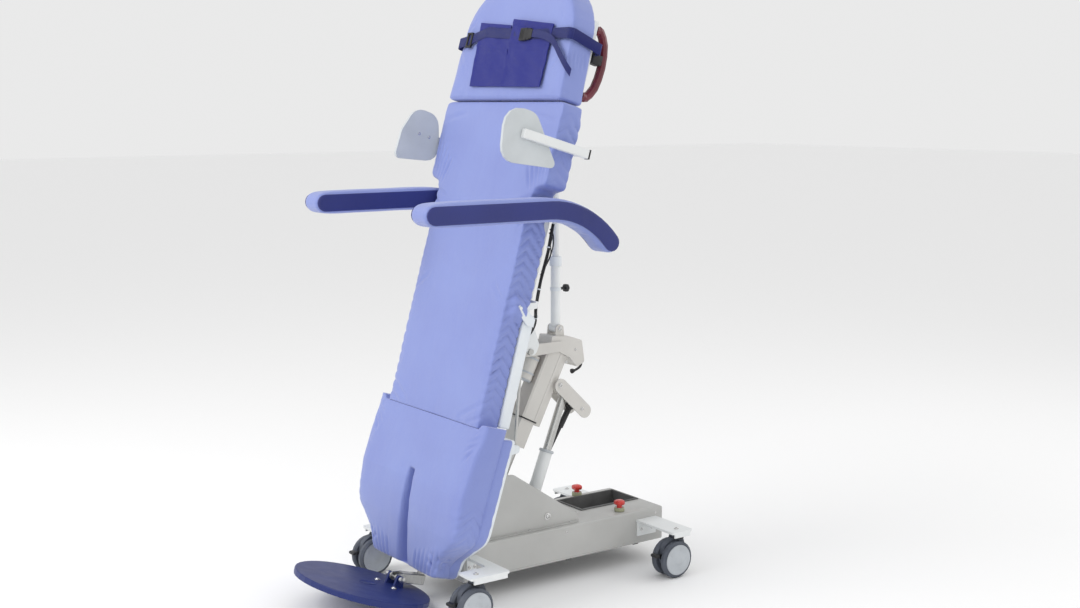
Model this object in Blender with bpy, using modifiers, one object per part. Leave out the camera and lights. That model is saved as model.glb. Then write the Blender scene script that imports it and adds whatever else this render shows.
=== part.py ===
"""A powered tilt table on castors: a stretcher that folds at the hip and knee, and tilts up to standing.

Metres, +Z up. The object faces -Y, and +X is on the patient's left. Shapes are laid out from the axis of the
front castors, and a parent empty then moves them so that the origin is under the middle of the bounding box.
The bed is laid out in its own flat frame: x across, y towards the head, z out of the mattress.
"""

from math import acos, atan2, cos, hypot, pi, radians, sin, tan

import bmesh
import bpy
from mathutils import Matrix, Vector

# Driving dimensions
GAP = 0.0003  # between pieces that touch
BED_TILT = radians(74.06)  # from flat
BED_ORIGIN = (0.0, -0.163, -0.125)
WHEELBASE = 0.836
CASTOR_X = 0.32
WHEEL_R = 0.065
STEM_OFFSET = 0.02  # castor stem behind the wheel axle
PLATE_Z = 0.157  # underside of the castor brackets
PLATE_EDGE_X = 0.355  # their outer edge
LIP_Z = 0.1435  # lower edge of a bracket's lip, above the fork of a swivelling castor
FORK_TOP = 0.142
PIN_R = 0.006
BORE_R = 0.0063

CHASSIS_X = 0.154
CHASSIS_Y = (0.08, 0.935)
CHASSIS_Z = (0.075, 0.196)
SHEET = 0.004
TRAY_X = (-0.115, 0.03)
TRAY_Y = (0.66, 0.915)
TRAY_DEPTH = 0.05
TOWER_X = 0.125
KNOB_PLACES = {"left": (0.115, 0.765), "right": (-0.137, 0.765)}

COLUMN_MID = (0.49, 0.68)  # a point on the column's axis, as (y, z)
COLUMN_ANGLE = radians(63)
COLUMN_FOOT = -0.52  # distances along the axis from COLUMN_MID
ROD_TOP = -0.12
ROD_R = 0.022
STAGE_HALF = 0.029
COVER_HALF = 0.034
STAGE = (-0.235, -0.02)
COVER = (-0.135, 0.12)
STRUT_FOOT = (0.44, 0.235)
GUIDE_TOP = (0.591, 0.625)
SPRING_TOP = (0.648, 0.572)
LEVER = ((0.556, 0.664), (0.662, 0.562))  # centres of the lever's round ends
LEVER_R = 0.025
LEVER_MOUNT = (0.553, 0.667)
CHANNEL_X = 0.027  # half width of the channel behind the column
MOTOR_OFF = -0.061
GUIDE_X = 0.014
SPRING_X = -0.024
ROD_START = 0.036  # from the foot of a strut to the lower end of its rod
TILT_AXIS = (0.42, 0.80)
POST_FOOT = (0.565, 0.862)
POST_TOP = (0.565, 1.50)
POST_SLEEVE_TOP = 1.112
POST_KNOB_Z = 1.0
POST_SLEEVE_R = 0.017
POST_INNER_R = 0.0122

CUSHION = (-0.08, 0.0)  # back and front face of the mattress
PLATFORM = (-0.1205, -0.0803)
WAIST_X = 0.283
SHOULDER_X = 0.348
LEG_X = 0.338
FOOT_END = 0.275
KNEE = (0.78, -0.125)  # joint axes of the bed, as (y, z)
HIP = (1.18, -0.05)
NECK = (1.845, -0.10)
SHOULDER_Y = 1.55
CROWN_Y = 2.25
RAIL_X = (0.225, 0.255)
LINK_X = 0.2
LINK_OFFSET = (-0.0498, -0.0981)  # from each axis to its end of the leg link
SIDE_BAR_Y = 1.70
SIDE_BAR_Z = (-0.112, -0.092)
SIDE_BAR_HALF = 0.009
SIDE_ARM_HALF = 0.0145
HEAD_RAIL_TOP = 2.135

ARM_X = (0.30, 0.40)
ARM_TIP_Y = -0.20
ARM_BEND_Y = 0.26
ARM_Z = 1.31
ARM_BEND_R = 0.308
ARM_BEND = radians(51)
ARM_HALF = 0.038
ARM_PIVOT = (0.3474, 1.2973)
FOOTPLATE_AXES = (0.26, 0.2115)
FOOTPLATE_Z = 0.109
FOOTPLATE_Y = (0.18, 0.2)
FOOT_PIN = (0.226, -0.012)
STEM_Z = (-0.1165, -0.0985)  # the footplate's stem, inside the leg platform
EAR = 0.0105  # half size of a hinge ear round its pin

COLOURS = {
    "chassis_grey": ((0.50, 0.50, 0.48), 0.45, 0.0),
    "frame_white": ((0.80, 0.80, 0.78), 0.4, 0.0),
    "cover_grey": ((0.52, 0.51, 0.48), 0.5, 0.0),
    "steel": ((0.60, 0.60, 0.60), 0.3, 1.0),
    "black_plastic": ((0.03, 0.03, 0.035), 0.5, 0.0),
    "tyre": ((0.08, 0.085, 0.10), 0.7, 0.0),
    "red_plastic": ((0.55, 0.04, 0.03), 0.35, 0.0),
    "maroon": ((0.12, 0.01, 0.02), 0.35, 0.0),
    "periwinkle": ((0.30, 0.34, 0.75), 0.6, 0.0),
    "navy": ((0.04, 0.045, 0.22), 0.6, 0.0),
    "pad_grey": ((0.62, 0.63, 0.64), 0.5, 0.0),
}

parts = None
cutters = None
materials = {}


def clear_scene():
    for item in list(bpy.data.objects):
        bpy.data.objects.remove(item, do_unlink=True)


def new_collection(name):
    collection = bpy.data.collections.new(name)
    bpy.context.scene.collection.children.link(collection)
    return collection


def make_materials():
    for name, (colour, roughness, metallic) in COLOURS.items():
        material = bpy.data.materials.new(name)
        material.use_nodes = True
        shader = material.node_tree.nodes["Principled BSDF"]
        shader.inputs["Base Color"].default_value = (*colour, 1.0)
        shader.inputs["Roughness"].default_value = roughness
        shader.inputs["Metallic"].default_value = metallic
        materials[name] = material


def empty(name, parent=None, location=(0, 0, 0), tilt=0.0):
    item = bpy.data.objects.new(name, None)
    parts.objects.link(item)
    item.parent = parent
    item.location = location
    item.rotation_euler = (tilt, 0, 0)
    return item


# Shapes: each returns a mesh, in the coordinates of its parent


def mesh_from(bm):
    bmesh.ops.recalc_face_normals(bm, faces=bm.faces)
    mesh = bpy.data.meshes.new("shape")
    bm.to_mesh(mesh)
    bm.free()
    return mesh


def box(low, high, bevel=0.0, segments=2):
    """A box between two corners, with rounded edges where a bevel is given."""
    bm = bmesh.new()
    bmesh.ops.create_cube(bm, size=1.0)
    size = Vector(high) - Vector(low)
    middle = (Vector(high) + Vector(low)) / 2
    bmesh.ops.transform(bm, matrix=Matrix.Translation(middle) @ Matrix.Diagonal((*size, 1)), verts=bm.verts)
    if bevel:
        bmesh.ops.bevel(bm, geom=bm.edges, offset=bevel, segments=segments, affect="EDGES", profile=0.5)
    return mesh_from(bm)


def rod(start, end, radius, sides=16):
    """A cylinder from one point to another."""
    start = Vector(start)
    along = Vector(end) - start
    bm = bmesh.new()
    bmesh.ops.create_cone(
        bm, cap_ends=True, segments=sides, radius1=radius, radius2=radius, depth=along.length
    )
    turn = Vector((0, 0, 1)).rotation_difference(along).to_matrix().to_4x4()
    bmesh.ops.transform(bm, matrix=Matrix.Translation(start + along / 2) @ turn, verts=bm.verts)
    return mesh_from(bm)


def cross_rod(x0, x1, place, radius, sides=16):
    """A cylinder along X at a (y, z) place."""
    return rod((x0, *place), (x1, *place), radius, sides)


def rounded(corners, steps=3):
    """A closed outline from (x, y, radius) corners, each rounded by an arc."""
    outline = []
    count = len(corners)
    for i, (x, y, radius) in enumerate(corners):
        here = Vector((x, y))
        if not radius:
            outline.append((x, y))
            continue
        before = (Vector(corners[i - 1][:2]) - here).normalized()
        after = (Vector(corners[(i + 1) % count][:2]) - here).normalized()
        half = acos(max(-1, min(1, before.dot(after)))) / 2
        centre = here + (before + after).normalized() * (radius / sin(half))
        first = here + before * (radius / tan(half)) - centre
        last = here + after * (radius / tan(half)) - centre
        start = atan2(first.y, first.x)
        sweep = (atan2(last.y, last.x) - start + pi) % (2 * pi) - pi
        for step in range(steps + 1):
            angle = start + sweep * step / steps
            outline.append((centre.x + radius * cos(angle), centre.y + radius * sin(angle)))
    return outline


def slab(outline, low, high, plane="XY"):
    """An outline extruded between two levels, lying in plane XY, YZ or XZ of the parent."""
    curve = bpy.data.curves.new("outline", "CURVE")
    curve.dimensions = "2D"
    curve.fill_mode = "BOTH"
    curve.extrude = (high - low) / 2
    spline = curve.splines.new("POLY")
    spline.points.add(len(outline) - 1)
    for point, (x, y) in zip(spline.points, outline):
        point.co = (x, y, 0, 1)
    spline.use_cyclic_u = True
    guide = bpy.data.objects.new("outline", curve)
    bpy.context.scene.collection.objects.link(guide)
    bpy.context.view_layer.update()
    mesh = bpy.data.meshes.new_from_object(guide.evaluated_get(bpy.context.evaluated_depsgraph_get()))
    bpy.data.objects.remove(guide)
    turn = {
        "XY": Matrix.Identity(4),
        "YZ": Matrix(((0, 0, 1, 0), (1, 0, 0, 0), (0, 1, 0, 0), (0, 0, 0, 1))),
        "XZ": Matrix(((1, 0, 0, 0), (0, 0, -1, 0), (0, 1, 0, 0), (0, 0, 0, 1))),
    }[plane]
    level = (high + low) / 2 * (-1 if plane == "XZ" else 1)
    bm = bmesh.new()
    bm.from_mesh(mesh)
    bmesh.ops.remove_doubles(bm, verts=bm.verts, dist=1e-5)
    bmesh.ops.transform(bm, matrix=turn @ Matrix.Translation((0, 0, level)), verts=bm.verts)
    return mesh_from(bm)


def mirrored(mesh):
    """The same shape on the other side of X = 0."""
    bm = bmesh.new()
    bm.from_mesh(mesh)
    bmesh.ops.transform(bm, matrix=Matrix.Diagonal((-1, 1, 1, 1)), verts=bm.verts)
    return mesh_from(bm)


def both_sides(mesh):
    return [mesh, mirrored(mesh)]


# Objects


def place(name, mesh, parent, material, origin=(0, 0, 0)):
    """A node. Its origin is moved to a point of its parent, such as its joint axis."""
    mesh.transform(Matrix.Translation(-Vector(origin)))
    mesh.name = name
    item = bpy.data.objects.new(name, mesh)
    parts.objects.link(item)
    item.parent = parent
    item.location = origin
    mesh.materials.clear()
    mesh.materials.append(materials[material])
    mesh.shade_smooth()
    mesh.set_sharp_from_angle(angle=radians(35))
    return item


def helper(mesh, parent):
    item = bpy.data.objects.new("helper", mesh)
    cutters.objects.link(item)
    item.parent = parent
    item.hide_render = True
    item.display_type = "WIRE"
    return item


def shape(item, join=(), cut=()):
    """Joins shapes to an object, then cuts others from it, by Boolean modifiers."""
    for operation, meshes in (("UNION", join), ("DIFFERENCE", cut)):
        for mesh in meshes:
            modifier = item.modifiers.new(operation.lower(), "BOOLEAN")
            modifier.operation = operation
            modifier.solver = "EXACT"
            modifier.object = helper(mesh, item.parent)
    return item


def tube(name, points, radius, parent, material, sides=3):
    """A bent tube through a smooth curve."""
    curve = bpy.data.curves.new(name, "CURVE")
    curve.dimensions = "3D"
    curve.bevel_depth = radius
    curve.bevel_resolution = sides
    curve.use_fill_caps = True
    spline = curve.splines.new("POLY")
    spline.points.add(len(points) - 1)
    for point, co in zip(spline.points, points):
        point.co = (*co, 1)
    curve.materials.append(materials[material])
    item = bpy.data.objects.new(name, curve)
    parts.objects.link(item)
    item.parent = parent
    return item


def smooth_path(route, steps):
    """Points read from a Catmull-Rom curve through the route."""
    route = [Vector(p) for p in route]
    ends = [2 * route[0] - route[1]] + route + [2 * route[-1] - route[-2]]
    path = []
    for a, b, c, d in zip(ends, ends[1:], ends[2:], ends[3:]):
        for step in range(steps):
            t = step / steps
            bend = 2 * a - 5 * b + 4 * c - d
            twist = 3 * b - a - 3 * c + d
            path.append(0.5 * (2 * b + (c - a) * t + bend * t**2 + twist * t**3))
    path.append(route[-1])
    return path


def turned(name, profile, parent, material, steps=24, origin=(0, 0, 0)):
    """A profile of (radius, x) points turned about the X axis through the origin."""
    mesh = bpy.data.meshes.new(name)
    mesh.from_pydata(
        [(x, radius, 0) for radius, x in profile], [(i, i + 1) for i in range(len(profile) - 1)], []
    )
    item = bpy.data.objects.new(name, mesh)
    parts.objects.link(item)
    item.parent = parent
    item.location = origin
    screw = item.modifiers.new("turn", "SCREW")
    screw.axis = "X"
    screw.steps = screw.render_steps = steps
    screw.use_merge_vertices = True
    screw.merge_threshold = 0.0001
    screw.use_smooth_shade = True
    mesh.materials.append(materials[material])
    return item


# Base


def make_chassis(root):
    x, (y0, y1), (z0, z1) = CHASSIS_X, CHASSIS_Y, CHASSIS_Z
    chassis = place("base_chassis", box((-x, y0, z0), (x, y1, z1), 0.006), root, "chassis_grey")
    inside = box((-x + SHEET, y0 + SHEET, z0 - 0.01), (x - SHEET, y1 - SHEET, z1 - SHEET))
    opening = box((TRAY_X[0], TRAY_Y[0], z1 - 0.02), (TRAY_X[1], TRAY_Y[1], z1 + 0.01))
    bosses = [rod((kx, ky, z1 - 0.003), (kx, ky, z1 + 0.014), 0.0155) for kx, ky in KNOB_PLACES.values()]
    sockets = [rod((kx, ky, z1 - 0.006), (kx, ky, z1 + 0.02), 0.0105) for kx, ky in KNOB_PLACES.values()]
    shape(chassis, join=bosses, cut=[inside, opening, *sockets])
    make_tray(root)
    low = z0 + 0.012
    battery = box((-0.12, 0.25, low), (0.12, 0.58, z1 - SHEET - 0.002), 0.005)
    place("battery_pack", battery, root, "black_plastic")


def make_tray(root):
    """A liner that hangs in the deck opening by its rim, with a rail along one side."""
    (x0, x1), (y0, y1), top = TRAY_X, TRAY_Y, CHASSIS_Z[1]
    rim = 0.005
    liner = box((x0 + 0.001, y0 + 0.001, top - TRAY_DEPTH), (x1 - 0.001, y1 - 0.001, top + 0.002))
    lip = box((x0 - rim, y0 - rim, top + GAP), (x1 + rim, y1 + rim, top + 0.004), 0.0015, 1)
    hollow = box((x0 + 0.004, y0 + 0.004, top - TRAY_DEPTH + 0.003), (x1 - 0.004, y1 - 0.004, top + 0.02))
    rail = box((x1 - 0.03, y0 + 0.002, top - 0.028), (x1 - 0.016, y1 - 0.002, top - 0.008))
    tray = place("deck_tray", liner, root, "cover_grey")
    shape(tray, join=[lip], cut=[hollow])
    shape(tray, join=[rail])


def make_tower(root):
    """Two sheet cheeks with a front wall, open on top for the column and the struts."""
    floor = CHASSIS_Z[1] + GAP
    outer = [
        (0.13, floor, 0), (0.205, 0.415, 0.01), (0.30, 0.402, 0.03), (0.566, 0.226, 0.012),
        (0.575, floor, 0)
    ]
    inner = [(0.136, floor - 0.01, 0), (0.211, 0.5, 0), (0.6, 0.5, 0), (0.6, floor - 0.01, 0)]
    tower = place("tower_housing", slab(rounded(outer), -TOWER_X, TOWER_X, "YZ"), root, "chassis_grey")
    hollow = slab(rounded(inner), -TOWER_X + SHEET, TOWER_X - SHEET, "YZ")
    flange = box((TOWER_X - 0.002, 0.14, floor), (TOWER_X + 0.014, 0.565, floor + 0.003))
    axle = cross_rod(-TOWER_X + 0.002, TOWER_X - 0.002, STRUT_FOOT, 0.007, 16)
    shape(tower, cut=[hollow])
    shape(tower, join=[*both_sides(flange), axle])


def make_bracket(root, end, side):
    """A bent plate from the chassis out over a castor. The front ones reach forward round the foot of the bed."""
    sign = 1 if side == "left" else -1
    inner, outer, top = CHASSIS_X + GAP, PLATE_EDGE_X, PLATE_Z + 0.008
    if end == "front":
        corners = [(inner, 0.088, 0), (0.275, 0.088, 0.01), (0.275, -0.018, 0.008), (outer, -0.018, 0.008)]
        corners += [(outer, 0.128, 0.008), (inner, 0.128, 0)]
        leg = (0.09, 0.126)
        lip = (-0.008, 0.118)
    else:
        middle = WHEELBASE + STEM_OFFSET
        corners = [(inner, middle - 0.045, 0), (outer, middle - 0.045, 0.008)]
        corners += [(outer, middle + 0.045, 0.008), (inner, middle + 0.045, 0)]
        leg = (middle - 0.043, middle + 0.043)
        lip = (middle - 0.035, middle + 0.035)
    plate = slab(rounded(corners, 3), PLATE_Z, top)
    wall = box((inner, leg[0], 0.105), (inner + 0.005, leg[1], PLATE_Z + 0.004))
    edge = box((outer - 0.006, lip[0], LIP_Z), (outer, lip[1], PLATE_Z + 0.004))
    meshes = [plate, wall, edge] if sign > 0 else [mirrored(m) for m in (plate, wall, edge)]
    shape(place(f"castor_bracket_{end}_{side}", meshes[0], root, "frame_white"), join=meshes[1:])


def make_castor(root, end, side):
    sign = 1 if side == "left" else -1
    hub_y = 0.0 if end == "front" else WHEELBASE
    stem = (sign * CASTOR_X, hub_y + STEM_OFFSET)
    swivel = empty(f"castor_axis_{end}_{side}", root, (*stem, 0))
    hub = (0, -STEM_OFFSET, WHEEL_R)
    head = rod((0, 0, WHEEL_R * 2 + 0.002), (0, 0, PLATE_Z - GAP), 0.024)
    cheek_outline = [
        (-0.070, 0.055, 0.01), (-0.062, 0.118, 0.03), (-0.02, FORK_TOP, 0.01), (0.02, FORK_TOP, 0.01)
    ]
    cheek_outline += [(0.03, 0.11, 0.02), (0.022, 0.045, 0.02), (-0.02, 0.03, 0.02)]
    fork = slab(rounded(cheek_outline, 3), -0.0105, 0.0105, "YZ")
    bore = cross_rod(-0.02, 0.02, hub[1:], 0.0085, 16)
    slot = box((-0.006, -0.09, 0.066), (0.006, -0.05, 0.084))
    body = place(f"castor_body_{end}_{side}", fork, swivel, "tyre")
    shape(body, join=[head], cut=[bore, slot])
    half = [
        (0.008, 0.0125), (0.059, 0.0125), (WHEEL_R, 0.018), (WHEEL_R, 0.030), (0.059, 0.036),
        (0.0, 0.036)
    ]
    profile = [(r, x) for r, x in reversed(half)] + [(r, -x) for r, x in half]
    turned(f"castor_wheels_{end}_{side}", profile, swivel, "tyre", 24, hub)
    pedal = rounded(
        [(-0.058, 0.070, 0), (-0.052, 0.080, 0), (-0.090, 0.088, 0.004), (-0.094, 0.080, 0.004)], 2
    )
    arm = slab(pedal, -0.0055, 0.0055, "YZ")
    tread = box((-0.017, -0.104, 0.079), (0.017, -0.086, 0.090), 0.003, 1)
    shape(
        place(f"brake_pedal_{end}_{side}", arm, swivel, "black_plastic", (0, -0.055, 0.075)),
        join=[tread]
    )


def make_release_knob(root, side):
    """A mushroom-headed push knob on a stem that travels in the chassis boss."""
    x, y = KNOB_PLACES[side]
    top = CHASSIS_Z[1] + 0.014
    stem = rod((x, y, top - 0.015), (x, y, top + 0.012), 0.0095, 16)
    cap = box((x - 0.016, y - 0.016, top + 0.008), (x + 0.016, y + 0.016, top + 0.026), 0.007, 3)
    shape(place(f"release_knob_{side}", stem, root, "red_plastic", (x, y, top)), join=[cap])


# Lift column, struts and tilt post


def on_column(along, off=0.0):
    """The (y, z) of a point by its distance along the column's axis and its distance behind it."""
    c, s = cos(COLUMN_ANGLE), sin(COLUMN_ANGLE)
    return COLUMN_MID[0] + c * along + s * off, COLUMN_MID[1] + s * along - c * off


def column_box(half_x, along, off, inset=0.0):
    corners = [(along[0], off[0]), (along[1], off[0]), (along[1], off[1]), (along[0], off[1])]
    return slab([on_column(*corner) for corner in corners], -half_x + inset, half_x - inset, "YZ")


def make_column(root):
    foot = box((-0.05, 0.19, CHASSIS_Z[1] + GAP), (0.05, 0.31, CHASSIS_Z[1] + 0.012))
    inner = rod((0, *on_column(COLUMN_FOOT)), (0, *on_column(ROD_TOP)), ROD_R, 28)
    block = box((-0.04, 0.21, CHASSIS_Z[1] + 0.01), (0.04, 0.30, 0.262), 0.006, 2)
    shape(place("lift_rod", foot, root, "steel"), join=[block, inner])
    stage = place(
        "column_stage", column_box(STAGE_HALF, STAGE, (-STAGE_HALF, STAGE_HALF)), root, "pad_grey"
    )
    bore = rod((0, *on_column(STAGE[0] - 0.02)), (0, *on_column(STAGE[1] + 0.02)), ROD_R + 0.0005, 28)
    shape(stage, cut=[bore])
    cover = place(
        "column_cover", column_box(COVER_HALF, COVER, (-COVER_HALF, COVER_HALF)), root, "cover_grey"
    )
    channel = column_box(CHANNEL_X, (COVER[0] - 0.01, COVER[1]), (0.03, 0.058))
    half = STAGE_HALF + 0.0005
    shape(cover, join=[channel], cut=[column_box(half, (COVER[0] - 0.02, COVER[1] - 0.008), (-half, half))])
    body = rod((0, *on_column(0.0, MOTOR_OFF)), (0, *on_column(0.075, MOTOR_OFF)), 0.0255, 24)
    cap = rod((0, *on_column(-0.012, MOTOR_OFF)), (0, *on_column(0.0005, MOTOR_OFF)), 0.0265, 24)
    shape(place("lift_motor", body, root, "cover_grey"), join=[cap])


def make_head(root):
    front = on_column(COVER[1] + GAP, -COVER_HALF)
    corners = [(*front, 0), (0.524, 0.842, 0.006), (0.60, 0.834, 0), (0.652, 0.816, 0.01)]
    corners += [(0.664, 0.738, 0.008)]
    corners += [(0.632, 0.722, 0.006), (*on_column(COVER[1] + GAP, 0.062), 0)]
    head = place("head_block", slab(rounded(corners, 3), -0.038, 0.038, "YZ"), root, "cover_grey")
    arm = [(0.56, 0.785, 0.004), (0.56, 0.822, 0.004), (0.40, 0.8205, 0.0195), (0.40, 0.7795, 0.0195)]
    arms = both_sides(slab(rounded(arm, 4), 0.0355, 0.0445, "YZ"))
    y, z = POST_FOOT
    lug = [
        (y - 0.02, 0.828, 0), (y + 0.02, 0.825, 0), (y + 0.015, z + 0.014, 0.012),
        (y - 0.015, z + 0.014, 0.012)
    ]
    lugs = both_sides(slab(rounded(lug, 4), 0.0195, 0.0255, "YZ"))
    pin = cross_rod(-0.0257, 0.0257, POST_FOOT, PIN_R, 16)
    bore = cross_rod(-0.06, 0.06, TILT_AXIS, 0.0106, 20)
    shape(head, join=[*arms, *lugs, pin], cut=[bore])


def make_lever(root):
    """A channel behind the column that carries the tops of both struts."""
    (ay, az), (by, bz) = LEVER
    length = hypot(by - ay, bz - az)
    dy, dz = (by - ay) / length, (bz - az) / length
    r = LEVER_R

    def on_lever(along, across):
        return ay + dy * along - dz * across, az + dz * along + dy * across

    corners = [(-r, -r), (length + r, -r), (length + r, r), (-r, r)]
    outline = rounded([(*on_lever(*corner), r - 0.0005) for corner in corners], 6)
    plates = both_sides(slab(outline, 0.0415, 0.0465, "YZ"))
    web = [(0.075, r - 0.006), (length + 0.005, r - 0.006), (length + 0.005, r - 0.001), (0.075, r - 0.001)]
    top = slab([on_lever(*corner) for corner in web], -0.0425, 0.0425, "YZ")
    pins = [cross_rod(-0.0425, 0.0425, spot, PIN_R, 16) for spot in (GUIDE_TOP, SPRING_TOP)]
    bosses = both_sides(cross_rod(CHANNEL_X + GAP, 0.0425, LEVER_MOUNT, 0.012, 20))
    shape(place("strut_lever", plates[0], root, "frame_white"), join=[plates[1], top, *pins, *bosses])


def make_strut(root, name, x, top, body_r, rod_r, body_length, materials_used, guard=None):
    """A telescopic strut from the tower's axle to the lever. The rod's eye has clearance on its pin."""
    foot = Vector((x, *STRUT_FOOT))
    along = Vector((x, *top)) - foot
    length = along.length
    along.normalize()
    (outer_name, outer_material), (inner_name, inner_material) = materials_used
    body = rod(foot + along * 0.012, foot + along * body_length, body_r, 24)
    outer = place(f"{name}_{outer_name}", body, root, outer_material, foot)
    eye = cross_rod(x - 0.0115, x + 0.0115, STRUT_FOOT, 0.015)
    hollow = rod(foot + along * 0.03, foot + along * (body_length + 0.02), rod_r + 0.0004, 24)
    shape(outer, join=[eye], cut=[hollow, cross_rod(x - 0.04, x + 0.04, STRUT_FOOT, 0.0073, 16)])
    slim = rod(foot + along * ROD_START, foot + along * (length - 0.008), rod_r, 24)
    inner = place(f"{name}_{inner_name}", slim, root, inner_material)
    joined = [cross_rod(x - 0.011, x + 0.011, top, 0.014)]
    if guard:
        joined.append(rod(foot + along * guard[0], foot + along * (length - 0.012), guard[1], 24))
    shape(inner, join=joined, cut=[cross_rod(x - 0.04, x + 0.04, top, 0.0085, 16)])


def make_tilt_post(root):
    y, z = POST_FOOT
    barrel = rod((0, y, z + 0.01), (0, y, POST_SLEEVE_TOP), POST_SLEEVE_R, 24)
    sleeve = place("tilt_post_sleeve", barrel, root, "frame_white", (0, y, z))
    eye = cross_rod(-0.0188, 0.0188, POST_FOOT, 0.016)
    collar = rod((0, y, POST_SLEEVE_TOP - 0.03), (0, y, POST_SLEEVE_TOP), POST_SLEEVE_R + 0.002, 24)
    hollow = rod((0, y, z + 0.03), (0, y, POST_SLEEVE_TOP + 0.01), POST_INNER_R + 0.0005, 24)
    shape(sleeve, join=[eye, collar], cut=[hollow, cross_rod(-0.03, 0.03, POST_FOOT, BORE_R, 16)])
    slim = rod((0, y, POST_KNOB_Z + 0.012), (0, y, POST_TOP[1]), POST_INNER_R, 24)
    inner = place("tilt_post_inner", slim, root, "frame_white")
    eye = cross_rod(-0.012, 0.012, POST_TOP, 0.018)
    shape(inner, join=[eye], cut=[cross_rod(-0.03, 0.03, POST_TOP, 0.0065, 16)])
    stem = rod((0, y + POST_SLEEVE_R + GAP, POST_KNOB_Z), (0, y + 0.04, POST_KNOB_Z), 0.005, 16)
    grip = rod((0, y + 0.038, POST_KNOB_Z), (0, y + 0.052, POST_KNOB_Z), 0.012, 20)
    shape(place("tilt_post_knob", stem, root, "black_plastic"), join=[grip])


def make_hose(root):
    route = [
        (0, 0.6695, 0.752), (0, 0.6785, 0.738), (0, 0.675, 0.716), (0, 0.655, 0.704), (0, 0.634, 0.7005)
    ]
    tube("hose_loop", smooth_path(route, 4), 0.0045, root, "black_plastic", 2)


# Bed, in its own flat frame


def make_back(bed):
    (x0, x1), (low, high) = RAIL_X, PLATFORM
    rail = box((x0, HIP[0] + 0.015, low), (x1, NECK[0] - 0.012, high), 0.004, 1)
    frame = place("back_frame", rail, bed, "frame_white")
    bars = [
        box((-x1 + 0.01, y - 0.015, low + 0.008), (x1 - 0.01, y + 0.015, high - 0.004))
        for y in (1.215, 1.36, 1.62, 1.78)
    ]
    tilt = bed_point(*TILT_AXIS)
    post = bed_point(*POST_TOP)
    carrier = [(tilt[0] - 0.03, tilt[1] - 0.02, 0.02), (1.203, low + 0.012, 0), (1.44, low + 0.012, 0.0)]
    carrier += [(1.30, low - 0.06, 0.04), (tilt[0] + 0.03, tilt[1] - 0.03, 0.025)]
    plates = both_sides(slab(rounded(carrier, 4), 0.0465, 0.0545, "YZ"))
    lug = [(1.745, low + 0.01, 0), (1.815, low + 0.01, 0), (post[0] + 0.02, post[1] - 0.02, 0.018)]
    lug += [(post[0] - 0.02, post[1] - 0.02, 0.018)]
    lugs = both_sides(slab(rounded(lug, 4), 0.0135, 0.0195, "YZ"))
    ear = [(HIP[0] - EAR, HIP[1] - EAR, EAR - 0.001), (HIP[0] - EAR, HIP[1] + EAR, EAR - 0.001)]
    ear += [
        (HIP[0] + EAR, HIP[1] + EAR, EAR - 0.001), (HIP[0] + 0.032, low + 0.004, 0),
        (HIP[0] + 0.012, low + 0.004, 0)
    ]
    ears = both_sides(slab(rounded(ear, 3), 0.2895, 0.2945, "YZ"))
    ties = both_sides(box((x1 - 0.01, HIP[0] + 0.016, low + 0.004), (0.2945, HIP[0] + 0.034, low + 0.014)))
    hip_pins = both_sides(cross_rod(0.290, 0.3015, HIP, PIN_R, 16))
    first = (HIP[0] + LINK_OFFSET[0], HIP[1] + LINK_OFFSET[1])
    lug_corners = [(first[0] - 0.012, first[1] - 0.012, 0.011), (first[0] - 0.012, first[1] + 0.012, 0.008)]
    lug_corners += [
        (HIP[0] + 0.02, low + 0.012, 0), (HIP[0] + 0.06, low + 0.012, 0),
        (first[0] + 0.02, first[1] - 0.012, 0.011)
    ]
    link_lug = slab(rounded(lug_corners, 3), LINK_X + 0.0075, LINK_X + 0.0135, "YZ")
    link_tie = box((LINK_X + 0.008, HIP[0] + 0.022, low + 0.001), (x0 + 0.01, HIP[0] + 0.05, low + 0.016))
    link_pin = cross_rod(LINK_X - 0.0075, LINK_X + 0.008, first, PIN_R, 16)
    neck_lug = [
        (NECK[0] - 0.04, low + 0.002, 0), (NECK[0] - 0.04, high - 0.001, 0),
        (NECK[0] + 0.01, NECK[1] + 0.011, 0.01)
    ]
    neck_lug += [(NECK[0] + 0.011, NECK[1] - 0.012, 0.01)]
    neck_lugs = both_sides(slab(rounded(neck_lug, 3), x0 - 0.002, x0 + 0.008, "YZ"))
    arm_pivot = bed_point(*ARM_PIVOT)
    spindles = both_sides(cross_rod(x1 - 0.004, 0.345, arm_pivot, 0.012, 20))
    joined = [
        mirrored(rail), *bars, *plates, *lugs, *ears, *ties, *hip_pins, link_lug, link_tie, link_pin,
        *neck_lugs
    ]
    slot = SIDE_BAR_HALF + 0.0007
    slots = both_sides(
        box(
            (x0 - 0.02, SIDE_BAR_Y - slot, SIDE_BAR_Z[0] - 0.0002),
            (x1 + 0.02, SIDE_BAR_Y + slot, SIDE_BAR_Z[1] + 0.0002)
        )
    )
    neck_bores = both_sides(cross_rod(x0 - 0.01, x0 + 0.02, NECK, BORE_R, 16))
    tilt_bore = cross_rod(-0.07, 0.07, tilt, 0.0103, 20)
    shape(frame, join=[*joined, *spindles], cut=[*slots, *neck_bores, tilt_bore])
    place("tilt_shaft", cross_rod(-0.060, 0.060, tilt, 0.010, 20), bed, "steel")
    waist, wide, top = WAIST_X, SHOULDER_X, NECK[0] - 0.005
    outline = [
        (waist, HIP[0] + 0.045, 0.004), (waist, SHOULDER_Y, 0.01), (wide, SHOULDER_Y + 0.012, 0.03),
        (wide, top, 0.045)
    ]
    outline += [(-x, y, r) for x, y, r in reversed(outline)]
    place("back_cushion", slab(rounded(outline, 4), *CUSHION), bed, "periwinkle")


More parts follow.
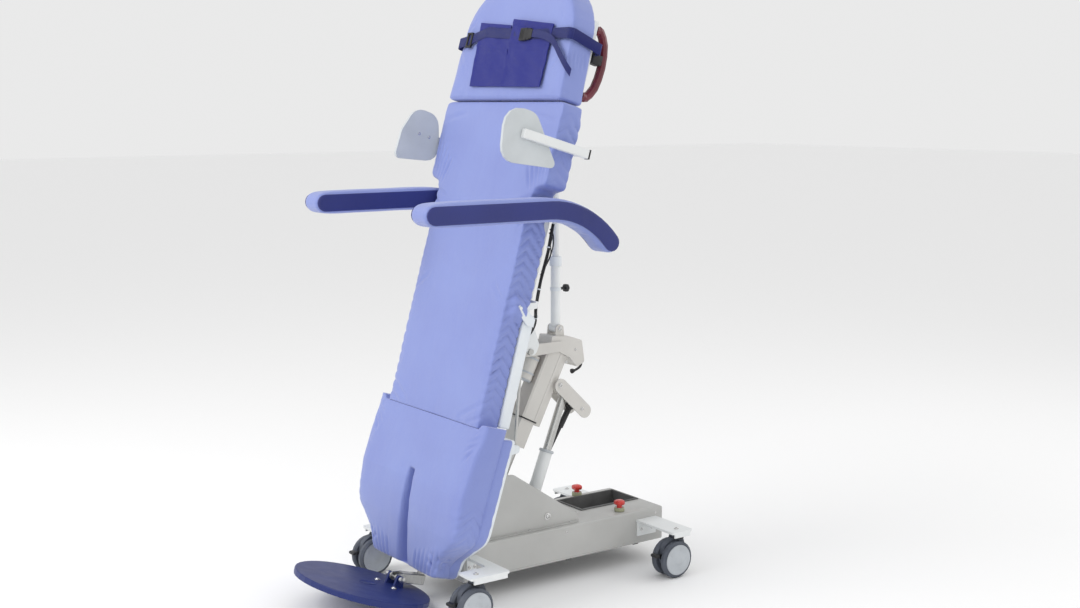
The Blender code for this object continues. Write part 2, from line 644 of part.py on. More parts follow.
def bed_point(y, z):
    """The bed's (y, z) of a place given in the upright frame."""
    dy, dz = y - BED_ORIGIN[1], z - BED_ORIGIN[2]
    return dy * cos(BED_TILT) + dz * sin(BED_TILT), dz * cos(BED_TILT) - dy * sin(BED_TILT)


def make_head_rest(bed):
    low = NECK[0] + 0.007
    corners = [(0.33, low, 0.03), (0.312, CROWN_Y, 0.2)]
    corners += [(-x, y, r) for x, y, r in reversed(corners)]
    place("head_cushion", slab(rounded(corners, 6), -0.085, 0.015), bed, "periwinkle")
    frame = box((-0.245, low + 0.035, -0.0925), (0.245, HEAD_RAIL_TOP - 0.005, -0.0855))
    side = box((0.262, low + 0.012, -0.110), (0.288, HEAD_RAIL_TOP, -0.0875), 0.003, 1)
    cross = box((-0.27, low + 0.05, -0.104), (0.27, low + 0.075, -0.0895))
    cross_top = box((-0.27, HEAD_RAIL_TOP - 0.045, -0.104), (0.27, HEAD_RAIL_TOP - 0.02, -0.0895))
    ear = [(NECK[0] - 0.010, NECK[1] - 0.010, 0.009), (NECK[0] - 0.010, NECK[1] + 0.010, 0.009)]
    ear += [(low + 0.06, -0.0895, 0), (low + 0.06, -0.104, 0)]
    ears = both_sides(slab(rounded(ear, 3), 0.2135, 0.2225, "YZ"))
    pins = both_sides(cross_rod(0.214, 0.236, NECK, PIN_R, 16))
    item = place("head_frame", frame, bed, "frame_white", (0, *NECK))
    shape(item, join=[*both_sides(side), cross, cross_top, *ears, *pins])
    handle = [
        (0.275, 2.108, -0.1105), (0.275, 2.108, -0.120), (0.275, 2.108, -0.1295), (0.275, 2.07, -0.155)
    ]
    handle += [(0.275, 1.999, -0.165), (0.275, 1.928, -0.155)]
    handle += [(0.275, 1.89, -0.1295), (0.275, 1.89, -0.120), (0.275, 1.89, -0.1105)]
    for side_name, sign in (("left", 1), ("right", -1)):
        route = [(sign * x, y, z) for x, y, z in smooth_path(handle, 2)]
        tube(f"push_handle_{side_name}", route, 0.015, bed, "maroon", 3)
    pouch = box((-0.19, 1.885, 0.0153), (0.23, 2.10, 0.0195), 0.0015, 1)
    place("head_pouch", pouch, bed, "navy")
    outer = [
        (0.3265, -0.1165, 0.011), (0.3265, 0.0235, 0.011), (-0.3265, 0.0235, 0.011),
        (-0.3265, -0.1165, 0.011)
    ]
    inner = [
        (0.3235, -0.1135, 0.008), (0.3235, 0.0205, 0.008), (-0.3235, 0.0205, 0.008),
        (-0.3235, -0.1135, 0.008)
    ]
    strap = place("head_strap", slab(rounded(outer, 4), 2.025, 2.06, "XZ"), bed, "navy")
    shape(strap, cut=[slab(rounded(inner, 4), 2.0, 2.08, "XZ")])
    buckle = box((0.055, 2.021, 0.0238), (0.125, 2.064, 0.033), 0.003, 2)
    place("strap_buckle", buckle, bed, "black_plastic")


def make_seat(bed):
    low, high = PLATFORM
    bottom, top = KNEE[0] + 0.014, HIP[0] - 0.015
    tray = place(
        "seat_platform", box((-0.289, bottom, low), (0.289, top, high), 0.004, 1), bed, "frame_white",
        (0, *HIP)
    )
    recess = box((-0.283, bottom + 0.006, low - 0.01), (0.283, top - 0.006, high - 0.005))
    ear = [
        (HIP[0] - 0.05, low + 0.006, 0), (HIP[0] - 0.05, high - 0.010, 0.01),
        (HIP[0] - EAR, HIP[1] + EAR, EAR - 0.001)
    ]
    ear += [
        (HIP[0] + EAR, HIP[1] + EAR, EAR - 0.001), (HIP[0] + EAR, HIP[1] - EAR, EAR - 0.001),
        (HIP[0] - 0.025, low + 0.006, 0)
    ]
    ears = both_sides(slab(rounded(ear, 3), 0.2950, 0.3000, "YZ"))
    ties = both_sides(box((0.285, HIP[0] - 0.048, low + 0.008), (0.2995, HIP[0] - 0.030, high - 0.012)))
    knuckle = [(KNEE[0] - 0.011, KNEE[1] - 0.011, 0.01), (KNEE[0] - 0.011, KNEE[1] + 0.0125, 0.01)]
    knuckle += [
        (bottom + 0.02, high - 0.002, 0), (bottom + 0.03, low + 0.002, 0),
        (KNEE[0] + 0.011, KNEE[1] - 0.011, 0.01)
    ]
    knuckles = both_sides(slab(rounded(knuckle, 3), 0.150, 0.162, "YZ"))
    pins = both_sides(cross_rod(0.151, 0.176, KNEE, PIN_R, 16))
    bores = both_sides(cross_rod(0.2940, 0.3020, HIP, BORE_R, 16))
    shape(tray, cut=[recess])
    shape(tray, join=[*ears, *ties, *knuckles, *pins])
    shape(tray, cut=bores)
    cushion = [(WAIST_X, KNEE[0] + 0.006, 0.004), (WAIST_X, HIP[0] - 0.045, 0.004)]
    cushion += [(-x, y, r) for x, y, r in reversed(cushion)]
    place("seat_cushion", slab(rounded(cushion, 2), *CUSHION), bed, "periwinkle")


def leg_outline(inset, top):
    """Wide at the knee, then narrowing by an S-curve to the foot."""
    side = [(LEG_X - inset, top, 0.01), (0.322 - inset, 0.43, 0.07), (0.215 - inset, 0.345, 0.05)]
    side += [(0.200 - inset, FOOT_END + inset, 0.03)]
    return rounded(side + [(-x, y, r) for x, y, r in reversed(side)], 5)


def make_legs(bed):
    low, high = PLATFORM
    top = KNEE[0] - 0.014
    tray = place("leg_platform", slab(leg_outline(0.004, top), low, high), bed, "frame_white", (0, *KNEE))
    recess = slab(leg_outline(0.010, top - 0.006), low - 0.01, high - 0.005)
    knuckle = [
        (KNEE[0] - 0.011, KNEE[1] - 0.011, 0.01), (top - 0.03, low + 0.002, 0),
        (top - 0.02, high - 0.002, 0)
    ]
    knuckle += [(KNEE[0] - 0.006, KNEE[1] + 0.0125, 0.006), (KNEE[0] + 0.011, KNEE[1] + 0.004, 0.008)]
    knuckle += [(KNEE[0] + 0.011, KNEE[1] - 0.011, 0.01)]
    knuckles = both_sides(slab(rounded(knuckle, 3), 0.1635, 0.1745, "YZ"))
    bores = both_sides(cross_rod(0.160, 0.180, KNEE, BORE_R, 16))
    second = (KNEE[0] + LINK_OFFSET[0], KNEE[1] + LINK_OFFSET[1])
    lug = [(second[0] - 0.012, second[1] - 0.012, 0.011), (0.66, high - 0.002, 0), (0.74, high - 0.002, 0)]
    lug += [(second[0] + 0.012, second[1] - 0.012, 0.011)]
    link_lug = slab(rounded(lug, 3), LINK_X + 0.0075, LINK_X + 0.0135, "YZ")
    link_pin = cross_rod(LINK_X - 0.0075, LINK_X + 0.008, second, PIN_R, 16)
    socket = box((-0.021, 0.28, low), (0.021, 0.46, high - 0.002))
    channel = box((-0.0125, 0.2, STEM_Z[0] - 0.0005), (0.0125, 0.5, STEM_Z[1] + 0.0005))
    shape(tray, cut=[recess])
    shape(tray, join=[*knuckles, link_lug, link_pin, socket])
    shape(tray, cut=[*bores, channel])
    front = 0.03
    cushion = place(
        "leg_cushion", slab(leg_outline(0, KNEE[0] - 0.005), CUSHION[0], front), bed, "periwinkle"
    )
    slope = slab([(0.2, -0.058), (0.47, front), (0.47, 0.1), (0.2, 0.1)], -0.4, 0.4, "YZ")
    groove = box((-0.006, 0.25, -0.06), (0.006, 0.583, 0.1))
    shape(cushion, cut=[slope, groove])


def make_link(bed):
    first = (HIP[0] + LINK_OFFSET[0], HIP[1] + LINK_OFFSET[1])
    second = (KNEE[0] + LINK_OFFSET[0], KNEE[1] + LINK_OFFSET[1])
    bar = place(
        "leg_link", rod((LINK_X, *second), (LINK_X, *first), 0.0055, 16), bed, "steel", (LINK_X, *first)
    )
    eyes = [cross_rod(LINK_X - 0.007, LINK_X + 0.007, spot, 0.0115, 20) for spot in (first, second)]
    bores = [cross_rod(LINK_X - 0.02, LINK_X + 0.02, spot, 0.0064, 16) for spot in (first, second)]
    shape(bar, join=eyes, cut=bores)


def make_footplate(bed):
    """An oval plate hinged on a stainless bracket, whose stem slides in the leg platform."""
    y0, y1 = FOOTPLATE_Y
    stem = box((-0.0120, 0.222, STEM_Z[0]), (0.0120, 0.42, STEM_Z[1]), 0.002, 1)
    drop = box((-0.02, 0.212, STEM_Z[0]), (0.02, 0.245, -0.030), 0.002, 1)
    ear = [(0.212, -0.04, 0), (0.245, -0.04, 0), (FOOT_PIN[0] + 0.012, FOOT_PIN[1] + 0.012, 0.011)]
    ear += [(FOOT_PIN[0] - 0.012, FOOT_PIN[1] + 0.012, 0.011)]
    ears = both_sides(slab(rounded(ear, 3), 0.012, 0.0195, "YZ"))
    pin = cross_rod(-0.036, 0.036, FOOT_PIN, 0.005, 16)
    bracket = place("footplate_bracket", stem, bed, "steel")
    shape(bracket, join=[drop, *ears, pin])
    a, b = FOOTPLATE_AXES
    oval = [(a * cos(2 * pi * i / 40), FOOTPLATE_Z + b * sin(2 * pi * i / 40)) for i in range(40)]
    plate = place("footplate", slab(oval, y0, y1, "XZ"), bed, "navy", (0, *FOOT_PIN))
    bevel_rim(plate, 0.008)
    lug = [(y1 - 0.004, FOOT_PIN[1] - 0.018, 0), (FOOT_PIN[0] + 0.011, FOOT_PIN[1] - 0.011, 0.0105)]
    lug += [(FOOT_PIN[0] + 0.011, FOOT_PIN[1] + 0.011, 0.0105), (y1 - 0.004, FOOT_PIN[1] + 0.018, 0)]
    lugs = both_sides(slab(rounded(lug, 3), 0.022, 0.032, "YZ"))
    bores = both_sides(cross_rod(0.020, 0.034, FOOT_PIN, 0.0053, 16))
    shape(plate, join=lugs, cut=bores)


def bevel_rim(item, width):
    """Rounds the sharp rims of a slab."""
    modifier = item.modifiers.new("rim", "BEVEL")
    modifier.width = width
    modifier.segments = 2
    modifier.limit_method = "ANGLE"
    modifier.angle_limit = radians(60)
    item.modifiers.move(len(item.modifiers) - 1, 0)


def make_side_support(bed, side):
    """A pad on an arm, whose bar slides across in slots of the back frame. The two pads are set differently."""
    if side == "left":
        corners = [(1.598, 0.195, 0.05), (1.775, 0.222, 0.06), (1.775, 0.105, 0.05), (1.628, -0.018, 0.014)]
        tip = 0.145
    else:
        corners = [(1.598, 0.150, 0.02), (1.70, 0.145, 0.05), (1.79, 0.11, 0.05), (1.785, 0.015, 0.05)]
        corners += [(1.63, -0.03, 0.05)]
        tip = 0.100
    low, high = SIDE_BAR_Z
    pad = slab(rounded(corners, 4), 0.354, 0.366, "YZ")
    arm = box((0.3663, SIDE_BAR_Y - SIDE_ARM_HALF, low), (0.388, SIDE_BAR_Y + SIDE_ARM_HALF, tip), 0.002, 1)
    bar = box((0.06, SIDE_BAR_Y - SIDE_BAR_HALF, low), (0.37, SIDE_BAR_Y + SIDE_BAR_HALF, high), 0.002, 1)
    meshes = [pad, arm, bar] if side == "left" else [mirrored(m) for m in (pad, arm, bar)]
    place(f"side_pad_{side}", meshes[0], bed, "pad_grey")
    shape(place(f"side_bar_{side}", meshes[1], bed, "frame_white"), join=[meshes[2]])


def make_armrest(root, side):
    """A padded bar, level from its tip and then bending down behind its pivot."""
    top = [(ARM_TIP_Y + ARM_HALF, ARM_Z)]
    centre = (ARM_BEND_Y, ARM_Z - ARM_BEND_R)
    steps = 8
    line = top + [
        (
            centre[0] + ARM_BEND_R * sin(ARM_BEND * i / steps),
            centre[1] + ARM_BEND_R * cos(ARM_BEND * i / steps)
        )
        for i in range(steps + 1)
    ]
    outline = offset_outline(line, ARM_HALF)
    x0, x1 = ARM_X
    pad = slab(outline, x0, x1, "YZ")
    bore = cross_rod(x0 - 0.01, 0.3455, ARM_PIVOT, 0.0123, 20)
    if side == "right":
        pad, bore = mirrored(pad), mirrored(bore)
    sign = 1 if side == "left" else -1
    item = place(f"armrest_{side}", pad, root, "periwinkle", (sign * x0, *ARM_PIVOT))
    bevel_rim(item, 0.010)
    shape(item, cut=[bore])


def offset_outline(line, half, cap_steps=6):
    """The outline of a band with round ends along a line of (x, y) points."""
    normals = []
    for i in range(len(line)):
        before, after = line[max(i - 1, 0)], line[min(i + 1, len(line) - 1)]
        along = Vector((after[0] - before[0], after[1] - before[1])).normalized()
        normals.append(Vector((-along.y, along.x)))
    upper = [Vector(p) + n * half for p, n in zip(line, normals)]
    lower = [Vector(p) - n * half for p, n in zip(line, normals)]
    caps = []
    for point, normal, sign in ((line[-1], normals[-1], 1), (line[0], normals[0], -1)):
        start = atan2(sign * normal.y, sign * normal.x)
        caps.append(
            [
                Vector(point) + half * Vector(
                    (cos(start - pi * i / cap_steps), sin(start - pi * i / cap_steps))
                )
                for i in range(1, cap_steps)
            ]
        )
    return [tuple(p) for p in upper + caps[0] + lower[::-1] + caps[1]]


def make_cables(bed):
    """The cables clipped along the back of the frame, down to the tilt bracket."""
    route = [(0.262, 1.47, -0.128), (0.262, 1.38, -0.131), (0.258, 1.28, -0.133), (0.25, 1.20, -0.142)]
    route += [(0.20, 1.155, -0.19), (0.13, 1.12, -0.235), (0.08, 1.10, -0.262), (0.062, 1.09, -0.275)]
    tube("cable_bundle", smooth_path(route, 4), 0.0065, bed, "black_plastic", 2)


def centre_on_footprint(root):
    """Moves everything so that the origin is on the floor under the middle of the bounding box."""
    bpy.context.view_layer.update()
    graph = bpy.context.evaluated_depsgraph_get()
    low, high = Vector((9, 9, 9)), Vector((-9, -9, -9))
    for item in parts.objects:
        if item.type == "EMPTY":
            continue
        evaluated = item.evaluated_get(graph)
        mesh = evaluated.to_mesh()
        for vertex in mesh.vertices:
            point = evaluated.matrix_world @ vertex.co
            low = Vector(min(a, b) for a, b in zip(low, point))
            high = Vector(max(a, b) for a, b in zip(high, point))
        evaluated.to_mesh_clear()
    root.location = (-(low.x + high.x) / 2, -(low.y + high.y) / 2, -low.z)
    print("origin", [round(v, 5) for v in root.location], "bounds", [round(v, 4) for v in (*low, *high)])


def main():
    global parts, cutters
    clear_scene()
    parts = new_collection("tilt_table")
    cutters = new_collection("cutters")
    make_materials()
    root = empty("table_origin")
    bed = empty("bed_datum", root, BED_ORIGIN, BED_TILT)
    make_chassis(root)
    make_tower(root)
    for end in ("front", "rear"):
        for side in ("left", "right"):
            make_bracket(root, end, side)
            make_castor(root, end, side)
    for side in ("left", "right"):
        make_release_knob(root, side)
        make_side_support(bed, side)
        make_armrest(root, side)
    make_column(root)
    make_head(root)
    make_lever(root)
    make_strut(root, "guide_strut", GUIDE_X, GUIDE_TOP, 0.0225, 0.0150, 0.215,
               (("sleeve", "frame_white"), ("rod", "steel")))
    make_strut(root, "gas_spring", SPRING_X, SPRING_TOP, 0.0130, 0.0070, 0.180,
               (("body", "frame_white"), ("rod", "black_plastic")), (0.31, 0.0105))
    make_tilt_post(root)
    make_hose(root)
    make_back(bed)
    make_head_rest(bed)
    make_seat(bed)
    make_legs(bed)
    make_link(bed)
    make_footplate(bed)
    make_cables(bed)
    centre_on_footprint(root)


main()
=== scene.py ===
from math import acos, atan2, cos, pi, radians, sin, tan

import bmesh
import bpy
import numpy as np
from mathutils import Matrix, Vector, noise


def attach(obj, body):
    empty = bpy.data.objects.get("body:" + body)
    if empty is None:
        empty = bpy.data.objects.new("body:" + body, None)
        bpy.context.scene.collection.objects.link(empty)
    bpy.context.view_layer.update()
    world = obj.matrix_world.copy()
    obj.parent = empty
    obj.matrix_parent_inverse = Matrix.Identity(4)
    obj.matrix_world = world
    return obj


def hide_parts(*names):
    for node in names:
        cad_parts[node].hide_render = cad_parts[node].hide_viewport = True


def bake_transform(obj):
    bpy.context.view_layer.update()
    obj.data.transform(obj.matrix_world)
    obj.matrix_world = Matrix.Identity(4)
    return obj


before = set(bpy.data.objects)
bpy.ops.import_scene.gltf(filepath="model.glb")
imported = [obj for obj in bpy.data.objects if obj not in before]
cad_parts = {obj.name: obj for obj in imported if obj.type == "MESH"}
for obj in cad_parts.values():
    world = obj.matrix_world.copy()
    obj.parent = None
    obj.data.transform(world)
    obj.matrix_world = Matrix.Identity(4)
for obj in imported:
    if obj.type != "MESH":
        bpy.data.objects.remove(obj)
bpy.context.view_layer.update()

# The bed's own flat frame: x across, y towards the head, z out of the mattress
BED_TILT = radians(74.06)
BED = Matrix.Translation((0.0, -0.41998, -0.125)) @ Matrix.Rotation(BED_TILT, 4, "X")
DESIGN = Matrix.Translation((0.0, -0.25698, 0.0))  # from the front castors' axis to the row's frame

SIDES = (("left", 1), ("right", -1))

# The covers and what is on them, in the bed's frame
CUSHION_BACK = -0.0797  # where the foam meets its frame
COVER_FRONT = 0.001
WAIST_X = 0.283
SHOULDER_X = 0.348
SHOULDER_Y = 1.55
LEG_X = 0.338
LEG_FRONT = 0.108  # the leg cushion where it is thickest
FOOT_END = 0.275
KNEE_Y = 0.78
KNEE_GAP = 0.0002
NECK_Y = 1.845
NECK_GAP = 0.0005
CROWN_Y = 2.25
HEAD_X = 0.33
STRAP_Y = (2.024, 2.060)

# The lift and the castors, in the design frame
COLUMN_MID = (0.49, 0.68)
COLUMN_ANGLE = radians(63)
POST_FOOT = (0.565, 0.862)
STRUT_FOOT = (0.44, 0.235)
CASTOR_X = 0.32
CASTOR_Y = {"front": 0.0, "rear": 0.836}
WHEEL_Z = 0.065
WHEEL_FACE = 0.0362

# The armrests, in the design frame
ARM_X = (0.30, 0.40)
ARM_TIP_Y = -0.20
ARM_BEND_Y = 0.26
ARM_Z = 1.31
ARM_BEND_R = 0.308
ARM_BEND = radians(51)
ARM_HALF = 0.038


# Materials


def srgb(r, g, b):
    def linear(v):
        return v / 12.92 if v <= 0.04045 else ((v + 0.055) / 1.055) ** 2.4

    return (linear(r), linear(g), linear(b), 1.0)


class Shader:
    """A Principled material being built, with short ways to add its nodes."""

    def __init__(self, name, roughness, metallic=0.0, specular=0.5):
        self.material = bpy.data.materials.new(name)
        self.material.use_nodes = True
        self.tree = self.material.node_tree
        self.main = self.tree.nodes["Principled BSDF"]
        self.main.inputs["Metallic"].default_value = metallic
        self.main.inputs["Specular IOR Level"].default_value = specular
        self.main.inputs["Roughness"].default_value = roughness
        self.place = self.add("ShaderNodeTexCoord").outputs["Object"]
        self.height = None

    def add(self, kind, **inputs):
        node = self.tree.nodes.new(kind)
        for key, value in inputs.items():
            socket = node.inputs[key.replace("_", " ")]
            if hasattr(value, "is_output"):
                self.tree.links.new(value, socket)
            else:
                socket.default_value = value
        return node

    def noise(self, scale, detail=3.0, stretch=(1, 1, 1)):
        spot = self.add("ShaderNodeMapping", Vector=self.place, Scale=stretch).outputs["Vector"]
        return self.add("ShaderNodeTexNoise", Vector=spot, Scale=scale, Detail=detail).outputs["Fac"]

    def cells(self, scale):
        return self.add("ShaderNodeTexVoronoi", Vector=self.place, Scale=scale).outputs["Distance"]

    def spread(self, value, low, high, start=0.3, end=0.7):
        ranged = self.add("ShaderNodeMapRange", Value=value)
        ranged.inputs["From Min"].default_value = start
        ranged.inputs["From Max"].default_value = end
        ranged.inputs["To Min"].default_value = low
        ranged.inputs["To Max"].default_value = high
        return ranged.outputs["Result"]

    def colour(self, fac, first, second, start=0.35, end=0.65):
        ramp = self.add("ShaderNodeValToRGB", Fac=fac)
        ramp.color_ramp.elements[0].position = start
        ramp.color_ramp.elements[1].position = end
        ramp.color_ramp.elements[0].color = first
        ramp.color_ramp.elements[1].color = second
        self.tree.links.new(ramp.outputs["Color"], self.main.inputs["Base Color"])

    def rough(self, fac, low, high):
        self.tree.links.new(self.spread(fac, low, high), self.main.inputs["Roughness"])

    def round_edges(self, radius):
        node = self.add("ShaderNodeBevel", Radius=radius)
        node.samples = 4
        self.height = node.outputs["Normal"]

    def bump(self, height, depth):
        node = self.add("ShaderNodeBump", Height=height, Distance=depth, Strength=1.0)
        if self.height:
            self.tree.links.new(self.height, node.inputs["Normal"])
        self.height = node.outputs["Normal"]
        self.tree.links.new(self.height, self.main.inputs["Normal"])


def coated_fabric(name, light, dark, grain=620.0, sheen=0.3):
    """A wipe-clean cover: fine leather-like grain on a knit, with soft stretch marks and handling shine."""
    shader = Shader(name, 0.5, specular=0.45)
    cloud = shader.noise(4.5, 4.0)
    shader.colour(cloud, dark, light, 0.3, 0.7)
    shader.rough(shader.noise(9.0, 3.0), 0.42, 0.60)
    shader.bump(shader.noise(26.0, 4.0, (1, 1, 0.45)), 0.0016)
    shader.bump(shader.cells(grain), 0.00035)
    shader.bump(shader.noise(1500.0, 2.0), 0.0001)
    shader.main.inputs["Sheen Weight"].default_value = sheen
    shader.main.inputs["Sheen Roughness"].default_value = 0.5
    return shader.material


def woven(name, light, dark, pitch):
    """An open mesh or webbing: two crossed sets of threads."""
    shader = Shader(name, 0.75, specular=0.3)
    heights = []
    for axis in ("X", "Z"):
        wave = shader.add("ShaderNodeTexWave", Vector=shader.place, Scale=pitch, Distortion=0.6)
        wave.bands_direction = axis
        wave.inputs["Detail Scale"].default_value = 6.0
        heights.append(wave.outputs["Fac"])
    cross = shader.add("ShaderNodeMath")
    cross.operation = "MULTIPLY"
    for socket, height in zip(cross.inputs, heights):
        shader.tree.links.new(height, socket)
    shader.colour(cross.outputs["Value"], dark, light, 0.05, 0.8)
    shader.bump(cross.outputs["Value"], 0.0006)
    shader.bump(shader.noise(30.0, 3.0), 0.001)
    shader.rough(shader.noise(14.0), 0.62, 0.85)
    shader.main.inputs["Sheen Weight"].default_value = 0.12
    return shader.material


def painted(name, light, dark):
    """Powder coat: orange peel, faint clouding, and edges rounded by the coat."""
    shader = Shader(name, 0.4)
    shader.round_edges(0.0013)
    shader.colour(shader.noise(5.0, 5.0), dark, light, 0.3, 0.7)
    shader.rough(shader.noise(18.0, 4.0), 0.34, 0.5)
    shader.bump(shader.noise(420.0, 2.0), 0.00018)
    shader.bump(shader.noise(35.0, 2.0), 0.00025)
    return shader.material


def moulded(name, light, dark, roughness=(0.45, 0.62), grain=900.0, coat=0.0):
    """Moulded plastic or rubber: spark-eroded grain and rubbed patches."""
    shader = Shader(name, 0.5)
    shader.round_edges(0.001)
    shader.colour(shader.noise(11.0, 4.0), dark, light, 0.3, 0.7)
    shader.rough(shader.noise(24.0, 3.0), *roughness)
    shader.bump(shader.cells(grain), 0.00016)
    shader.main.inputs["Coat Weight"].default_value = coat
    return shader.material


def brushed(name, light, dark, stretch, roughness=(0.22, 0.38)):
    """Turned or brushed metal: long fine scratches along one direction."""
    shader = Shader(name, 0.3, metallic=1.0)
    lines = shader.noise(900.0, 3.0, stretch)
    shader.colour(lines, dark, light, 0.25, 0.75)
    shader.rough(lines, *roughness)
    shader.bump(lines, 0.00008)
    return shader.material


def pale_floor():
    """A matt white paper ground."""
    shader = Shader("floor", 0.85, specular=0.1)
    shader.colour(shader.noise(300.0, 2.0), srgb(0.98, 0.98, 0.98), srgb(0.985, 0.985, 0.985))
    return shader.material


periwinkle = coated_fabric("periwinkle", srgb(0.52, 0.575, 0.81), srgb(0.49, 0.54, 0.785))
navy_cover = coated_fabric("navy_cover", srgb(0.155, 0.19, 0.47), srgb(0.13, 0.16, 0.42), 520.0, 0.08)
navy_mesh = woven("navy_mesh", srgb(0.20, 0.24, 0.66), srgb(0.10, 0.12, 0.46), 210.0)
webbing = woven("webbing", srgb(0.20, 0.24, 0.56), srgb(0.10, 0.125, 0.38), 330.0)
chassis_paint = painted("chassis_paint", srgb(0.73, 0.73, 0.72), srgb(0.69, 0.69, 0.68))
cover_paint = painted("cover_paint", srgb(0.83, 0.82, 0.80), srgb(0.78, 0.77, 0.75))
panel_paint = painted("panel_paint", srgb(0.72, 0.70, 0.68), srgb(0.66, 0.64, 0.62))
white_paint = painted("white_paint", srgb(0.91, 0.92, 0.92), srgb(0.87, 0.88, 0.88))
white_plastic = moulded("white_plastic", srgb(0.90, 0.92, 0.93), srgb(0.86, 0.88, 0.90), (0.35, 0.5))
pad_plastic = moulded("pad_plastic", srgb(0.80, 0.82, 0.83), srgb(0.76, 0.78, 0.79), (0.4, 0.55), 700.0)
grey_plastic = moulded("grey_plastic", srgb(0.74, 0.76, 0.78), srgb(0.69, 0.71, 0.73), (0.35, 0.5))
# Black plastic; the same material also paints the shade inside the tilt post's notch holes.
black_plastic = moulded("black_plastic", srgb(0.16, 0.16, 0.17), srgb(0.10, 0.10, 0.11))
tray_lining = moulded("tray_lining", srgb(0.40, 0.40, 0.40), srgb(0.30, 0.30, 0.30), (0.55, 0.8), 380.0)
tyre = moulded("tyre", srgb(0.36, 0.38, 0.42), srgb(0.27, 0.29, 0.33), (0.55, 0.8), 500.0)
red_plastic = moulded("red_plastic", srgb(0.86, 0.22, 0.18), srgb(0.74, 0.12, 0.11), (0.25, 0.4), 900.0, 0.4)
maroon = moulded("maroon", srgb(0.42, 0.10, 0.17), srgb(0.32, 0.06, 0.11), (0.28, 0.42), 900.0, 0.3)
footplate_blue = moulded("footplate_blue", srgb(0.06, 0.145, 0.42), srgb(0.055, 0.13, 0.39), (0.44, 0.50), 260.0)
collar_green = moulded("collar_green", srgb(0.66, 0.66, 0.54), srgb(0.58, 0.59, 0.48))
steel = brushed("steel", srgb(0.80, 0.80, 0.79), srgb(0.68, 0.68, 0.67), (1, 1, 0.03))
bright_steel = brushed("bright_steel", srgb(0.87, 0.87, 0.86), srgb(0.76, 0.76, 0.76), (0.04, 1, 1), (0.15, 0.3))


def dress(material, *nodes):
    """Gives bodies of the frame their material."""
    for node in nodes:
        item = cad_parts[node]
        item.data.materials.clear()
        item.data.materials.append(material)


CORNERS = [f"{end}_{side}" for end in CASTOR_Y for side, _ in SIDES]
dress(chassis_paint, "base_chassis", "tower_housing")
dress(tray_lining, "deck_tray")
dress(black_plastic, "battery_pack", "tilt_post_knob", "gas_spring_rod", "hose_loop", "strap_buckle")
dress(steel, "lift_rod", "guide_strut_rod", "leg_link", "tilt_shaft", "footplate_bracket")
dress(white_paint, "back_frame", "head_frame", "side_bar_left", "side_bar_right")
dress(white_paint, "guide_strut_sleeve", "gas_spring_body", "tilt_post_sleeve", "tilt_post_inner")
dress(white_plastic, "seat_platform", "leg_platform")
dress(cover_paint, "column_cover", "head_block", "lift_motor", "column_stage", "strut_lever")
dress(pad_plastic, "side_pad_left", "side_pad_right")
dress(red_plastic, "release_knob_left", "release_knob_right")
dress(maroon, "push_handle_left", "push_handle_right")
dress(footplate_blue, "footplate")
for corner in CORNERS:
    dress(white_paint, f"castor_bracket_{corner}")
    dress(tyre, f"castor_body_{corner}", f"castor_wheels_{corner}")
    dress(black_plastic, f"brake_pedal_{corner}")
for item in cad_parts.values():
    item.data.shade_smooth()
    item.data.set_sharp_from_angle(angle=radians(32))


# Shapes


def rounded(corners, steps=4):
    """A closed outline from (x, y, radius) corners, each rounded by an arc."""
    outline = []
    for i, (x, y, radius) in enumerate(corners):
        here = Vector((x, y))
        if not radius:
            outline.append((x, y))
            continue
        before = (Vector(corners[i - 1][:2]) - here).normalized()
        after = (Vector(corners[(i + 1) % len(corners)][:2]) - here).normalized()
        half = acos(max(-1, min(1, before.dot(after)))) / 2
        centre = here + (before + after).normalized() * (radius / sin(half))
        first = here + before * (radius / tan(half)) - centre
        last = here + after * (radius / tan(half)) - centre
        start = atan2(first.y, first.x)
        sweep = (atan2(last.y, last.x) - start + pi) % (2 * pi) - pi
        for step in range(steps + 1):
            angle = start + sweep * step / steps
            outline.append((centre.x + radius * cos(angle), centre.y + radius * sin(angle)))
    return outline


def symmetric(side):
    """The corners of one side, and the same ones mirrored across x."""
    return side + [(-x, y, radius) for x, y, radius in reversed(side)]


def link(name, data):
    """Puts a mesh, a lamp or a camera into the scene."""
    data.name = name
    item = bpy.data.objects.new(name, data)
    bpy.context.scene.collection.objects.link(item)
    return item


def finish_mesh(bm):
    """Turns a bmesh into a mesh with its faces outward."""
    bmesh.ops.recalc_face_normals(bm, faces=bm.faces)
    mesh = bpy.data.meshes.new("shape")
    bm.to_mesh(mesh)
    bm.free()
    return mesh


def loft(rings, caps=True):
    """A skin through closed rings of equally many points. A last ring that is the first one closes it."""
    bm = bmesh.new()
    loop = rings[0] is rings[-1]
    rows = [[bm.verts.new(point) for point in ring] for ring in (rings[:-1] if loop else rings)]
    if loop:
        rows.append(rows[0])
    count = len(rows[0])
    for lower, upper in zip(rows, rows[1:]):
        for i in range(count):
            j = (i + 1) % count
            bm.faces.new((lower[i], lower[j], upper[j], upper[i]))
    if caps:
        bm.faces.new(rows[0][::-1])
        bm.faces.new(rows[-1])
    return finish_mesh(bm)


def prism(outline, low, high, edge, plane="XY"):
    """An extruded outline with rounded rims, in plane XY or YZ."""
    turn = {"XY": lambda a, b, c: (a, b, c), "YZ": lambda a, b, c: (c, a, b)}[plane]
    bm = bmesh.new()
    bm.from_mesh(loft([[turn(x, y, level) for x, y in outline] for level in (low, high)]))
    rims = [e for e in bm.edges if any(len(f.verts) > 4 for f in e.link_faces)]
    bmesh.ops.bevel(bm, geom=rims, offset=edge, segments=4, affect="EDGES", profile=0.5)
    return finish_mesh(bm)


